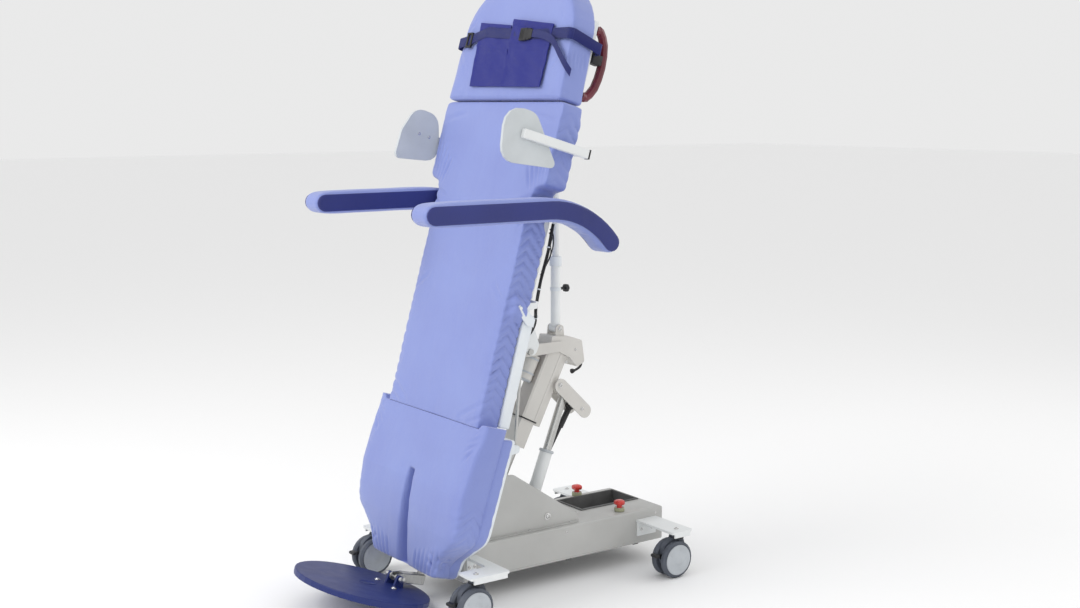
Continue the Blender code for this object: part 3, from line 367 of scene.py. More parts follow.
def block(low, high, edge):
    """A box with rounded edges, from its low corner to its high one."""
    bm = bmesh.new()
    bmesh.ops.create_cube(bm, size=1.0)
    middle = (Vector(high) + Vector(low)) / 2
    size = Vector(high) - Vector(low)
    place = Matrix.Translation(middle) @ Matrix.Diagonal((*size, 1))
    bmesh.ops.transform(bm, matrix=place, verts=bm.verts)
    bmesh.ops.bevel(bm, geom=bm.edges, offset=edge, segments=3, affect="EDGES", profile=0.5)
    return finish_mesh(bm)


def turned(profile, centre, axis, steps, hoop=False):
    """A profile of (radius, height) points turned about an axis. A hoop's profile closes on itself."""
    rings = []
    turn = Vector((0, 0, 1)).rotation_difference(Vector(axis)).to_matrix()
    for radius, height in profile:
        ring = []
        for i in range(steps):
            angle = 2 * pi * i / steps
            ring.append(Vector(centre) + turn @ Vector((radius * cos(angle), radius * sin(angle), height)))
        rings.append(ring)
    return loft(rings + rings[:1], caps=False) if hoop else loft(rings)


def sweep(points, radius, sides):
    """A round tube through points."""
    points = [Vector(p) for p in points]
    rings = []
    normal = None
    for i, point in enumerate(points):
        along = (points[min(i + 1, len(points) - 1)] - points[max(i - 1, 0)]).normalized()
        if normal is None:
            normal = along.orthogonal().normalized()
        normal = (normal - along * normal.dot(along)).normalized()
        other = along.cross(normal)
        ring = []
        for k in range(sides):
            angle = 2 * pi * k / sides
            ring.append(point + (normal * cos(angle) + other * sin(angle)) * radius)
        rings.append(ring)
    return loft(rings)


def ribbon(points, across, half, thickness):
    """A flat strap through points; across is its width direction at each point."""
    points = [Vector(p) for p in points]
    rings = []
    for i, point in enumerate(points):
        along = (points[min(i + 1, len(points) - 1)] - points[max(i - 1, 0)]).normalized()
        side = Vector(across(i / (len(points) - 1))).normalized()
        out = side.cross(along).normalized()
        ring = []
        for s, t in ((-1, 0), (-0.94, 0.5), (0.94, 0.5), (1, 0), (0.94, -0.5), (-0.94, -0.5)):
            ring.append(point + side * half * s + out * thickness * t)
        rings.append(ring)
    return loft(rings)


def smooth_path(route, steps):
    """Points read from a Catmull-Rom curve through the route."""
    route = [Vector(p) for p in route]
    ends = [2 * route[0] - route[1]] + route + [2 * route[-1] - route[-2]]
    path = []
    for a, b, c, d in zip(ends, ends[1:], ends[2:], ends[3:]):
        for step in range(steps):
            t = step / steps
            bend = (2 * a - 5 * b + 4 * c - d) * t**2 + (3 * b - a - 3 * c + d) * t**3
            path.append(0.5 * (2 * b + (c - a) * t + bend))
    path.append(route[-1])
    return path


def piece(name, meshes, body, material, where=BED, sharp=38):
    """A finished piece, from one or more shapes, riding on a body."""
    bm = bmesh.new()
    for mesh in meshes if isinstance(meshes, list) else [meshes]:
        bm.from_mesh(mesh)
    joined = finish_mesh(bm)
    joined.transform(where)
    item = link(name, joined)
    joined.materials.append(material)
    joined.shade_smooth()
    joined.set_sharp_from_angle(angle=radians(sharp))
    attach(item, body)
    return item


# Soft goods

CLOTH_FRAMES = 20


def coordinates(item):
    """The places and the normals of an object's vertices."""
    count = len(item.data.vertices)
    places = np.empty(count * 3)
    normals = np.empty(count * 3)
    item.data.vertices.foreach_get("co", places)
    item.data.vertices.foreach_get("normal", normals)
    return places.reshape(-1, 3), normals.reshape(-1, 3)


def set_coordinates(item, places):
    """Moves an object's vertices."""
    item.data.vertices.foreach_set("co", places.ravel())
    item.data.update()


def bake(item):
    """Applies the modifiers of an object."""
    graph = bpy.context.evaluated_depsgraph_get()
    mesh = bpy.data.meshes.new_from_object(item.evaluated_get(graph))
    item.modifiers.clear()
    item.data = mesh


def inflated(name, mesh, voxel, pressure, cap):
    """A pad that is remeshed, filled by a cloth simulation that moves it by up to cap, and subdivided once."""
    item = link(name, mesh)
    remesh = item.modifiers.new("skin", "REMESH")
    remesh.mode = "VOXEL"
    remesh.voxel_size = voxel
    bake(item)
    start, _ = coordinates(item)
    cloth = item.modifiers.new("filling", "CLOTH")
    settings = cloth.settings
    settings.quality = 5
    settings.mass = 0.3
    settings.tension_stiffness = 12
    settings.compression_stiffness = 12
    settings.bending_stiffness = 0.6
    settings.use_pressure = True
    settings.uniform_pressure_force = pressure
    settings.effector_weights.gravity = 0.0
    cloth.point_cache.frame_start = 1
    cloth.point_cache.frame_end = CLOTH_FRAMES
    for step in range(1, CLOTH_FRAMES + 1):
        bpy.context.scene.frame_set(step)
    bake(item)
    end, _ = coordinates(item)
    shift = end - start
    length = np.linalg.norm(shift, axis=1, keepdims=True) + 1e-9
    set_coordinates(item, start + shift * (cap * np.tanh(length / cap) / length))
    bpy.context.scene.frame_set(1)
    smooth = item.modifiers.new("fine", "SUBSURF")
    smooth.levels = smooth.render_levels = 1
    bake(item)
    return item


def band(value, low, high, soft):
    """1 between two values, falling smoothly to 0 outside them."""
    rise = np.clip((value - low) / soft + 0.5, 0, 1)
    fall = np.clip((high - value) / soft + 0.5, 0, 1)
    return rise * rise * (3 - 2 * rise) * fall * fall * (3 - 2 * fall)


def cloud(places, scale, seed=0.0):
    """Smooth noise at each place."""
    shift = Vector((seed, seed * 1.7, -seed))
    return np.array([noise.noise(Vector(p) * scale + shift) for p in places])


def crease(places, normals, start, end, width, depth):
    """A soft fold along a line; positive depth is a valley with raised shoulders."""
    a = np.array(start)
    d = np.array(end) - a
    t = np.clip((places - a) @ d / (d @ d), 0, 1)
    away = np.linalg.norm(places - (a + t[:, None] * d), axis=1)
    taper = np.sin(pi * np.clip(0.08 + 0.92 * t, 0, 1)) ** 0.7
    profile = 1.35 * np.exp(-((away / width) ** 2)) - 0.55 * np.exp(-((away / (2.1 * width)) ** 2))
    places -= normals * (depth * taper * profile)[:, None]


def crease_sides(places, normals, folds):
    """Creases given as (start, end, width, depth) for the left, on both sides."""
    for s in (-1, 1):
        for start, end, width, depth in folds:
            crease(places, normals, (s * start[0], *start[1:]), (s * end[0], *end[1:]), width, depth)


def pleats(places, normals, low, high, pitch, depth, reach):
    """Slanted gathers along the sides, where the cover is pulled round the foam."""
    side = np.clip(np.abs(normals[:, 0]) * 1.4 - 0.35, 0, 1)
    slant = np.abs(places[:, 2] + 0.035) * 0.9
    wander = cloud(places, 9.0, 3.0) * 0.020
    phase = (places[:, 1] + slant + wander) / pitch
    wave = 1 - np.abs(np.sin(pi * phase)) ** 0.45
    strength = band(places[:, 1], low, high, reach) * (0.65 + 0.7 * cloud(places, 5.0, 8.0))
    places -= normals * (depth * side * wave * strength)[:, None]


def squared(values, start, end, rims, kept):
    """Stretches values to run from start to end, with the rounded rim at each end squeezed to what is kept."""
    low, high = values.min(), values.max()
    known = [low, low + rims[0], high - rims[1], high]
    return np.interp(values, known, [start, start + kept[0], end - kept[1], end])


def widened(x, half, rim=0.020, kept=0.008):
    """Squeezes the rounded rims along both sides of a pad whose half width is given at each point."""
    out = np.minimum(np.abs(x), half)
    inner = out * (half - kept) / (half - rim)
    outer = half - kept + (out - (half - rim)) * kept / rim
    return np.sign(x) * np.where(out > half - rim, outer, inner)


def smooth_step(value):
    """Rises smoothly from 0 to 1 as the value does."""
    value = np.clip(value, 0, 1)
    return value * value * (3 - 2 * value)


def settle(item, body, nodes, where=BED):
    """Finishes a pad that was made in the bed's or the design frame."""
    item.data.transform(where)
    item.data.materials.clear()
    item.data.materials.append(periwinkle)
    item.data.shade_smooth()
    if body:
        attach(item, body)
    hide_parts(*nodes)


def make_mattress():
    """One cover from the shoulders to the knee, over the back and seat foam."""
    inset = 0.007
    waist, wide, top = WAIST_X - inset, SHOULDER_X - inset, NECK_Y - 0.005
    side = [(waist, KNEE_Y + 0.004, 0.008), (waist, SHOULDER_Y - 0.004, 0.022)]
    side += [(wide, SHOULDER_Y + 0.016, 0.03), (wide, top, 0.05)]
    mesh = prism(rounded(symmetric(side), 5), -0.074, -0.006, 0.017)
    item = inflated("mattress_cover", mesh, 0.0085, 3.2, 0.011)
    places, normals = coordinates(item)
    x, y, z = places.T
    y = squared(y, KNEE_Y + KNEE_GAP, NECK_Y - NECK_GAP, (0.020, 0.020), (0.0006, 0.010))
    z = squared(z, CUSHION_BACK, COVER_FRONT, (0.020, 0.016), (0.002, 0.007))
    narrow = WAIST_X / np.abs(x[y < 1.48]).max()
    broad = SHOULDER_X / np.abs(x[y > 1.64]).max()
    step = smooth_step((y - SHOULDER_Y + 0.02) / 0.05)
    x = widened(x * (narrow + (broad - narrow) * step), WAIST_X + (SHOULDER_X - WAIST_X) * step)
    places = np.stack([x, y, z], axis=1)
    hem = smooth_step((np.abs(x) - 0.262) / 0.014) * smooth_step((-0.05 - z) / 0.025)
    places[:, 2] -= hem * (0.019 * band(y, 1.21, 1.44, 0.04) + 0.007 * band(y, 1.46, 1.80, 0.04))
    pleats(places, normals, 0.80, 1.50, 0.034, 0.014, 0.10)
    pleats(places, normals, 1.57, 1.80, 0.042, 0.008, 0.08)
    crease_sides(places, normals, mattress_folds())
    front = np.clip(normals[:, 2], 0, 1)
    places[:, 2] += front * (0.0028 * cloud(places, 3.2) + 0.0010 * cloud(places, 11.0, 5.0))
    places[:, 1] = np.clip(places[:, 1], KNEE_Y + KNEE_GAP, NECK_Y + NECK_GAP)
    # At the hip the back half of the cover leans to the left, over the hinge's ear on that side
    places[:, 0] += 0.021 * band(places[:, 1], 1.145, 1.212, 0.03) * smooth_step((-0.012 - z) / 0.025)
    on_platform = (np.abs(places[:, 0]) < 0.258) | (places[:, 1] < 1.19)
    places[:, 2] = np.where(on_platform, np.maximum(places[:, 2], CUSHION_BACK), places[:, 2])
    set_coordinates(item, places)
    settle(item, None, ["back_cushion", "seat_cushion"])
    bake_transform(item)


def mattress_folds():
    """Fans of folds at the shoulders and the waist, and single ones at the hip, knee and neck."""
    folds = []
    for k in range(6):
        lean = 0.020 * k
        start = (0.262 + 0.015 * k, SHOULDER_Y + 0.008 + 0.4 * lean, 0.0)
        end = (0.225 + 0.026 * k, SHOULDER_Y + 0.095 + lean, 0.0)
        folds.append((start, end, 0.0065, 0.0068 - 0.0006 * k))
    for k in range(3):
        start = (0.288, 1.535 - 0.030 * k, -0.004)
        end = (0.205 + 0.02 * k, 1.505 - 0.042 * k, 0.0)
        folds.append((start, end, 0.0085, 0.0042))
    return folds + [
        ((0.20, 1.235, 0.0), (0.285, 1.17, -0.01), 0.009, 0.0045),
        ((0.17, 0.80, 0.0), (0.285, 0.86, -0.005), 0.010, 0.0045),
        ((0.22, 0.79, 0.0), (0.288, 0.815, -0.005), 0.007, 0.0045),
        ((0.20, 1.80, 0.0), (0.33, 1.775, -0.005), 0.010, 0.0035),
    ]


def leg_outline(inset, top):
    """The leg section seen from the front, drawn in by inset."""
    side = [(LEG_X - inset, top, 0.01), (0.322 - inset, 0.43, 0.07), (0.215 - inset, 0.345, 0.05)]
    return rounded(symmetric(side + [(0.200 - inset, FOOT_END + inset, 0.03)]), 6)


def make_leg_hem():
    """The elastic edge of the leg cover, drawn down over the sides of its tray."""
    corners = [Vector(p) for p in leg_outline(0.0, KNEE_Y - 0.016)]
    path = []
    for a, b in zip(corners, corners[1:]):
        count = max(1, round((b - a).length / 0.007))
        path += [a.lerp(b, i / count) for i in range(count)]
    path.append(corners[-1])
    rings = []
    for i, point in enumerate(path):
        along = (path[min(i + 1, len(path) - 1)] - path[max(i - 1, 0)]).normalized()
        out = Vector((along.y, -along.x))
        if out.dot(point - Vector((0, 0.5))) < 0:
            out = -out
        low = -0.108 + 0.0035 * noise.noise(Vector((point.x * 40, point.y * 40, 1.0)))
        if point.y < 0.30 and abs(point.x) < 0.06:
            low = -0.0925
        gather = 0.0009 * sin(2.1 * i)
        ring = []
        fold = [(-0.070, -0.009), (-0.079, -0.0006), (low + 0.004, 0.0008 + gather), (low, 0.0)]
        fold += [(low, -0.0030), (-0.0797, -0.0034), (-0.070, -0.012)]
        for level, shift in fold:
            ring.append((point.x + out.x * shift, point.y + out.y * shift, level))
        rings.append(ring)
    hem = piece("leg_hem", loft(rings), "leg", periwinkle, BED, 60)


def make_leg_pad():
    """The raised leg cushion, narrowing to the foot, with a groove down its middle."""
    mesh = prism(leg_outline(0.007, KNEE_Y - 0.005), -0.074, 0.024, 0.020)
    item = inflated("leg_pad", mesh, 0.0075, 3.2, 0.010)
    places, normals = coordinates(item)
    x, y, z = places.T
    y = squared(y, FOOT_END, KNEE_Y - KNEE_GAP, (0.020, 0.022), (0.010, 0.0006))
    z = squared(z, CUSHION_BACK, CUSHION_BACK + LEG_FRONT, (0.022, 0.016), (0.002, 0.008))
    x = x * LEG_X / np.abs(x).max()
    stations = [0.25, 0.30, 0.36, 0.42, 0.49, 0.56, 0.68, 0.78]
    front = np.interp(y, stations, [0.052, 0.066, 0.080, 0.094, 0.104, LEG_FRONT, 0.098, 0.081])
    z = CUSHION_BACK + (z - CUSHION_BACK) * front / LEG_FRONT
    places = np.stack([x, y, z], axis=1)
    facing = np.clip(normals[:, 2], 0, 1)
    groove_top, groove_depth = 0.590, np.minimum(0.056, 0.7 * front)
    half = 0.0125 + 0.040 * np.clip(0.585 - y, 0, 1)
    notch = np.exp(-((x / half) ** 4)) * np.clip((groove_top - y) / 0.014, 0, 1) ** 0.5
    places[:, 2] -= np.clip(facing * 1.6, 0, 1) * groove_depth * notch
    shoulder = np.exp(-((x / 0.045) ** 2)) * band(y, 0.27, 0.60, 0.05)
    places[:, 2] -= facing * 0.006 * shoulder
    crease_sides(places, normals, leg_folds())
    pleats(places, normals, 0.30, 0.52, 0.036, 0.006, 0.08)
    places[:, 2] += facing * (0.0026 * cloud(places, 3.6, 2.0) + 0.0009 * cloud(places, 12.0, 6.0))
    corner = smooth_step((np.abs(x) - 0.290) / 0.018) * smooth_step((y - 0.735) / 0.04)
    places[:, 1] = np.minimum(places[:, 1], KNEE_Y - KNEE_GAP) + 0.015 * corner
    places[:, 2] = np.maximum(places[:, 2], CUSHION_BACK)
    set_coordinates(item, places)
    settle(item, "leg", ["leg_cushion"])


def leg_folds():
    """Gathers at the foot and its corners, and folds across the knee corners."""
    folds = []
    for k in range(6):
        start = (0.085 + 0.022 * k, FOOT_END + 0.004, -0.02)
        end = (0.095 + 0.028 * k, FOOT_END + 0.070 + 0.010 * k, -0.005)
        folds.append((start, end, 0.006, 0.0080))
    for k in range(4):
        start = (0.205 + 0.012 * k, FOOT_END + 0.03 + 0.022 * k, -0.045)
        end = (0.165 + 0.016 * k, FOOT_END + 0.055 + 0.026 * k, 0.0)
        folds.append((start, end, 0.007, 0.0090))
    folds.append(((0.334, 0.60, -0.01), (0.27, 0.70, 0.025), 0.011, 0.003))
    for k in range(4):
        start = (LEG_X - 0.006 * k, 0.768 - 0.014 * k, 0.0)
        end = (0.215 + 0.018 * k, 0.752 - 0.030 * k, 0.028)
        folds.append((start, end, 0.007, 0.0050))
    return folds


def make_head_pad():
    """The head cushion, drawn in along the strap."""
    inset = 0.006
    side = [(HEAD_X - inset, NECK_Y + 0.006, 0.02), (0.312 - inset, CROWN_Y - inset, 0.195)]
    mesh = prism(rounded(symmetric(side), 9), -0.078, 0.008, 0.024)
    item = inflated("head_pad", mesh, 0.0070, 3.2, 0.008)
    places, normals = coordinates(item)
    x, y, z = places.T
    y = squared(y, NECK_Y + 0.0015, CROWN_Y - 0.002, (0.022, 0.010), (0.012, 0.010))
    z = squared(z, -0.0845, 0.0140, (0.026, 0.022), (0.004, 0.011))
    places = np.stack([x * HEAD_X / np.abs(x).max(), y, z], axis=1)
    strap = np.exp(-(((places[:, 1] - sum(STRAP_Y) / 2 - 0.012) / 0.028) ** 2))
    edge = np.clip((np.abs(places[:, 0]) - 0.18) / 0.12, 0, 1)
    places -= normals * (strap * (0.0015 + 0.0035 * edge))[:, None]
    folds = []
    for k in range(5):
        start = (0.322, STRAP_Y[0] - 0.006, 0.0 - 0.014 * k)
        end = (0.318, STRAP_Y[0] - 0.075 - 0.012 * (k % 2), -0.004 - 0.015 * k)
        folds.append((start, end, 0.0055, 0.004))
    folds.append(((0.31, 2.015, 0.0), (0.245, 1.94, 0.014), 0.008, 0.003))
    folds.append(((0.30, 2.07, 0.0), (0.24, 2.13, 0.014), 0.008, 0.0026))
    folds.append(((0.325, 1.875, -0.01), (0.25, 1.89, 0.012), 0.008, 0.003))
    crease_sides(places, normals, folds)
    front = np.clip(normals[:, 2], 0, 1)
    places[:, 2] += front * (0.002 * cloud(places, 4.0, 4.0) + 0.0008 * cloud(places, 13.0, 9.0))
    places[:, 1] = np.maximum(places[:, 1], NECK_Y + 0.0015)
    places[:, 2] = np.clip(places[:, 2], -0.0848, 0.0145)
    set_coordinates(item, places)
    settle(item, "head", ["head_cushion"])


# Armrests


def arm_line():
    """The armrest's middle line: straight from its tip, then bent down."""
    steps = 10
    centre = (ARM_BEND_Y, ARM_Z - ARM_BEND_R)
    tip = ARM_TIP_Y + ARM_HALF
    line = [(tip + (ARM_BEND_Y - ARM_TIP_Y - ARM_HALF) * i / 8, ARM_Z) for i in range(8)]
    for i in range(steps + 1):
        turn = ARM_BEND * i / steps
        line.append((centre[0] + ARM_BEND_R * sin(turn), centre[1] + ARM_BEND_R * cos(turn)))
    return line


def arm_outline(half):
    """A band with round ends along the armrest's middle line."""
    cap_steps = 8
    line = arm_line()
    normals = []
    for i in range(len(line)):
        before, after = line[max(i - 1, 0)], line[min(i + 1, len(line) - 1)]
        along = Vector((after[0] - before[0], after[1] - before[1])).normalized()
        normals.append(Vector((-along.y, along.x)))
    upper = [Vector(p) + n * half for p, n in zip(line, normals)]
    lower = [Vector(p) - n * half for p, n in zip(line, normals)]
    caps = []
    for point, normal, sign in ((line[-1], normals[-1], 1), (line[0], normals[0], -1)):
        start = atan2(sign * normal.y, sign * normal.x)
        cap = []
        for i in range(1, cap_steps):
            angle = start - pi * i / cap_steps
            cap.append(Vector(point) + half * Vector((cos(angle), sin(angle))))
        caps.append(cap)
    return [tuple(p) for p in upper + caps[0] + lower[::-1] + caps[1]]


def make_armrest(side, sign):
    """A padded armrest with a raised panel on both of its faces."""
    x0, x1 = sorted(sign * x for x in ARM_X)
    core = prism(arm_outline(ARM_HALF - 0.004), x0 + 0.005, x1 - 0.005, 0.012, "YZ")
    item = inflated(f"armrest_pad_{side}", core, 0.006, 2.6, 0.005)
    places, normals = coordinates(item)
    under = np.clip(-normals[:, 2], 0, 1)
    places += normals * (0.0010 * cloud(places, 9.0, 2.0) * (1 + under))[:, None]
    set_coordinates(item, places)
    body = f"armrest_{side}"
    settle(item, body, [body], DESIGN)
    levels = [(0.0105, -0.0095), (0.0095, -0.0025), (0.0108, -0.0009), (0.0135, 0.0001), (0.020, 0.0007)]
    for face, out in ((x1, 1), (x0, -1)):
        name = "outer" if out == sign else "inner"
        rings = []
        for inset, height in levels:
            rings.append([(face + out * height, y, z) for y, z in arm_outline(ARM_HALF - inset)])
        panel = piece(f"armrest_panel_{side}_{name}", loft(rings), body, navy_cover, DESIGN)


# Headrest fittings


def make_pouch():
    """Two overlapping mesh flaps on the front of the head cushion, with a fold under the strap."""
    strap_at = 0.64  # of the flap's height
    flaps = {
        "left": ((0.004, 1.886), (0.228, 1.882), (-0.004, 2.117), (0.229, 2.090)),
        "right": ((-0.186, 1.889), (0.018, 1.886), (-0.205, 2.114), (-0.016, 2.097)),
    }
    rows = columns = 30
    for side, (low_a, low_b, high_a, high_b) in flaps.items():
        seed, lift = (3.0, 0.0024) if side == "left" else (7.0, 0.0)
        rings = []
        for j in range(rows + 1):
            t = j / rows
            front, back = [], []
            for i in range(columns + 1):
                s = i / columns
                low, high = Vector(low_a).lerp(Vector(low_b), s), Vector(high_a).lerp(Vector(high_b), s)
                spot = low.lerp(high, t)
                wave = noise.noise(Vector((spot.x * 22 + 9 * t, spot.y * 9, seed)))
                ripple = 0.0028 * wave * min(1.0, 4 * t) + 0.0014 * sin(11 * s + 5 * t + seed) * (1 - t)
                fold = 0.0032 * cos(pi * min(0.5, abs(t + 0.06 * s - strap_at) / 0.08))
                hem = 0.0012 if min(s, 1 - s) < 0.05 or t < 0.05 or t > 0.95 else 0.0
                level = 0.0190 + lift + ripple + fold
                front.append((spot.x, spot.y, level + 0.0012 + hem))
                back.append((spot.x, spot.y, level - 0.0008))
            rings.append(front + back[::-1])
        flap = piece(f"head_flap_{side}", loft(rings), "head", navy_mesh, BED, 60)
        if side == "left":
            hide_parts("head_pouch")


def make_strap():
    """A band round the head cushion, raised at the flaps, and its loose tail."""
    middle = sum(STRAP_Y) / 2
    half = (STRAP_Y[1] - STRAP_Y[0]) / 2
    side = [(0.3265, -0.1165, 0.012), (0.3265, 0.0215, 0.018)]
    coarse = rounded(symmetric(side), 6)
    ring = []
    for a, b in zip(coarse, coarse[1:] + coarse[:1]):
        count = max(1, round(abs(b[0] - a[0]) / 0.02))
        ring += [(a[0] + (b[0] - a[0]) * i / count, a[1] + (b[1] - a[1]) * i / count) for i in range(count)]
    stations, rises = [-HEAD_X, -0.25, -0.15, 0.08, HEAD_X], [0.000, 0.012, 0.036, 0.018, 0.016]
    rings = []
    for spot, out in ((-1, 0.0), (-0.95, 0.0011), (0.95, 0.0011), (1, 0.0), (0.95, -0.0007), (-0.95, -0.0007)):
        row = []
        for x, z in ring:
            rise = float(np.interp(x, stations, rises)) if z > 0 else 0.0
            lift = out if z > -0.04 else -out
            row.append((x * (1 + out / HEAD_X), middle + spot * half + rise, z + lift))
        rings.append(row)
    strap = piece("strap_band", loft(rings + rings[:1], caps=False), "head", webbing, BED, 60)
    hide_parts("head_strap")
    tail = [(0.11, 0.020, 0.028), (0.17, 0.014, 0.032), (0.225, 0.002, 0.033), (0.262, -0.016, 0.030)]
    tail += [(0.296, -0.050, 0.025), (0.325, -0.084, 0.014), (0.343, -0.108, -0.002)]
    path = smooth_path([(x, middle + y, z) for x, y, z in tail], 6)
    shape = ribbon(path, lambda t: (0.35 * t, 1, 0.2 * t), 0.0125, 0.0016)
    piece("strap_tail", shape, "head", webbing)


def make_strap_fittings():
    """The slider of the strap, and its snap buckle."""
    slider = sum(STRAP_Y) / 2 + 0.012
    shapes = []
    for x in (-0.262, -0.238):
        shapes.append(block((x - 0.004, slider - 0.024, 0.019), (x + 0.004, slider + 0.022, 0.027), 0.002))
    for y in (slider - 0.024, slider + 0.022):
        shapes.append(block((-0.266, y - 0.0035, 0.019), (-0.234, y + 0.0035, 0.028), 0.0016))
    piece("strap_slider", shapes, "head", black_plastic)
    centre = sum(STRAP_Y) / 2 + 0.017
    shell = [block((0.061, centre - 0.0215, 0.0245), (0.100, centre + 0.0215, 0.0335), 0.0035)]
    shell.append(block((0.092, centre - 0.0165, 0.0255), (0.130, centre + 0.0165, 0.0328), 0.003))
    for y in (centre - 0.0195, centre + 0.0155):
        shell.append(block((0.100, y, 0.0255), (0.119, y + 0.004, 0.0325), 0.0014))
    for x in (0.066, 0.074, 0.082):
        shell.append(block((x, centre - 0.015, 0.0325), (x + 0.003, centre + 0.015, 0.0348), 0.0008))
    buckle = piece("buckle", shell, "head", black_plastic)
    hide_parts("strap_buckle")


# Hard details


def screw(centre, axis, radius):
    """A button head on a washer, with a socket."""
    profile = [(0.2, 0.0), (1.45, 0.0), (1.5, 0.08), (1.45, 0.22), (1.0, 0.24), (1.0, 0.30), (0.97, 0.5)]
    profile += [(0.82, 0.72), (0.5, 0.84), (0.46, 0.80), (0.44, 0.45), (0.05, 0.40)]
    return turned([(radius * r, radius * h) for r, h in profile], centre, axis, 20)


def make_fasteners():
    """The screws that show on the base, the head of the lift, the back frame and the side pads."""
    base, head, back = [], [], []
    for _, s in SIDES[::-1]:
        base.append(screw((s * 0.1252, *STRUT_FOOT), (s, 0, 0), 0.0085))
        base += [screw((s * 0.1325, y, 0.1995), (0, 0, 1), 0.003) for y in (0.19, 0.36, 0.53)]
        base += [screw((s * 0.1542, y, 0.176), (s, 0, 0), 0.003) for y in (0.14, 0.50, 0.90)]
        base += [screw((s * 0.1595, y, 0.128), (s, 0, 0), 0.0045) for y in (0.098, 0.118, 0.832, 0.880)]
        base += [screw((s * CASTOR_X, y, 0.1652), (0, 0, 1), 0.0058) for y in (0.02, 0.856)]
        for x, y, z, radius in (
            (0.0467, 0.648, 0.572, 0.0050),
            (0.0467, 0.553, 0.667, 0.0065),
            (0.0257, *POST_FOOT, 0.0065),
            (0.0382, 0.625, 0.785, 0.0035),
            (0.0382, 0.585, 0.745, 0.0035),
        ):
            head.append(screw((s * x, y, z), (s, 0, 0), radius))
        back.append(screw((s * 0.3452, 1.5168, -0.0905), (s, 0, 0), 0.0075))
        back += [screw((s * 0.24, y, -0.1206), (0, 0, -1), 0.0045) for y in (1.215, 1.36, 1.62, 1.78)]
    piece("base_fasteners", base, "base", bright_steel, DESIGN)
    piece("head_fasteners", head, "lift_head", bright_steel, DESIGN)
    piece("back_fasteners", back, "back", bright_steel)
    pad_spots = {"left": [(1.702, 0.125), (1.702, 0.080)], "right": [(1.704, 0.075), (1.703, 0.033)]}
    for side, s in SIDES:
        shapes = [screw((s * 0.3538, y, z), (-s, 0, 0), 0.0035) for y, z in pad_spots[side]]
        piece(f"pad_screws_{side}", shapes, f"side_{side}", bright_steel)
        cap = block((0.365, 1.6845, -0.1165), (0.3892, 1.7155, -0.1121), 0.0012)
        if s < 0:
            cap.transform(Matrix.Diagonal((-1, 1, 1, 1)))
        piece(f"side_bar_cap_{side}", cap, f"side_{side}", black_plastic)


def make_castor_details():
    """The dished hub covers with their dimples, the beads of the tyres, and the seals of the stems."""
    hub = [(0.0535, -0.002), (0.0535, 0.0008), (0.0515, 0.0019), (0.046, 0.0016), (0.044, 0.0008)]
    hub += [(0.030, 0.0012), (0.018, 0.0032), (0.0155, 0.0052), (0.010, 0.0062), (0.0005, 0.0064)]
    dimple = [(0.0048, -0.0008), (0.0048, 0.0013), (0.0040, 0.0019), (0.0026, 0.0013), (0.0003, 0.0012)]
    bead = [(0.0588, -0.0005), (0.0575, 0.0016), (0.0555, 0.0022), (0.0545, 0.0010), (0.0545, -0.0010)]
    seal = [(0.0242, 0.1335), (0.0262, 0.1345), (0.0262, 0.1400), (0.0242, 0.1415), (0.0238, 0.1375)]
    for end, y in CASTOR_Y.items():
        for side, s in SIDES:
            hubs, beads = [], []
            for out in (-1, 1):
                centre = (s * CASTOR_X + out * WHEEL_FACE, y, WHEEL_Z)
                hubs.append(turned(hub, centre, (out, 0, 0), 48))
                for k in range(5):
                    angle = 2 * pi * k / 5
                    spot = (centre[0], y + 0.037 * cos(angle), WHEEL_Z + 0.037 * sin(angle))
                    hubs.append(turned(dimple, spot, (out, 0, 0), 16))
                beads.append(turned(bead, centre, (out, 0, 0), 48))
            corner = f"{end}_{side}"
            piece(f"hub_covers_{corner}", hubs, f"wheels_{corner}", grey_plastic, DESIGN)
            piece(f"tyre_beads_{corner}", beads, f"wheels_{corner}", tyre, DESIGN)
            ring = turned(seal, (s * CASTOR_X, y + 0.02, 0), (0, 0, 1), 32, hoop=True)
            piece(f"stem_seal_{corner}", ring, f"castor_{corner}", black_plastic, DESIGN)


def on_column(x, along, off):
    """A place in the design frame, given along the column and off its middle line."""
    c, s = cos(COLUMN_ANGLE), sin(COLUMN_ANGLE)
    return (x, COLUMN_MID[0] + c * along + s * off, COLUMN_MID[1] + s * along - c * off)


def column_plate(x, along, off, edge):
    """A rounded bar laid along the column, from (low, high) pairs."""
    turn = Matrix.Rotation(COLUMN_ANGLE - pi / 2, 4, "X")
    mesh = block((x[0], -off[1], along[0]), (x[1], -off[0], along[1]), edge)
    mesh.transform(Matrix.Diagonal((1, -1, 1, 1)))
    mesh.flip_normals()
    mesh.transform(Matrix.Translation((0, *COLUMN_MID)) @ turn)
    return mesh


def make_column_details():
    """The front panel and the side ribs of the column cover, and the wiper round its lower end."""
    face = column_plate((-0.0315, 0.0315), (-0.1345, 0.119), (-0.0352, -0.0335), 0.0006)
    piece("column_face", face, "lift_head", panel_paint, DESIGN)
    ribs, wiper = [], []
    for s in (-1, 1):
        for off in (-0.026, 0.024):
            x = sorted((s * 0.0335, s * 0.0352))
            ribs.append(column_plate(x, (-0.133, 0.117), (off - 0.003, off + 0.003), 0.0006))
        edge = sorted((s * 0.0292, s * 0.0345))
        wiper.append(column_plate(edge, (-0.1395, -0.1352), (-0.0345, 0.0345), 0.0012))
        wiper.append(column_plate((-0.0345, 0.0345), (-0.1395, -0.1352), edge, 0.0012))
    piece("column_ribs", ribs, "lift_head", cover_paint, DESIGN)
    piece("column_wiper", wiper, "lift_head", black_plastic, DESIGN)


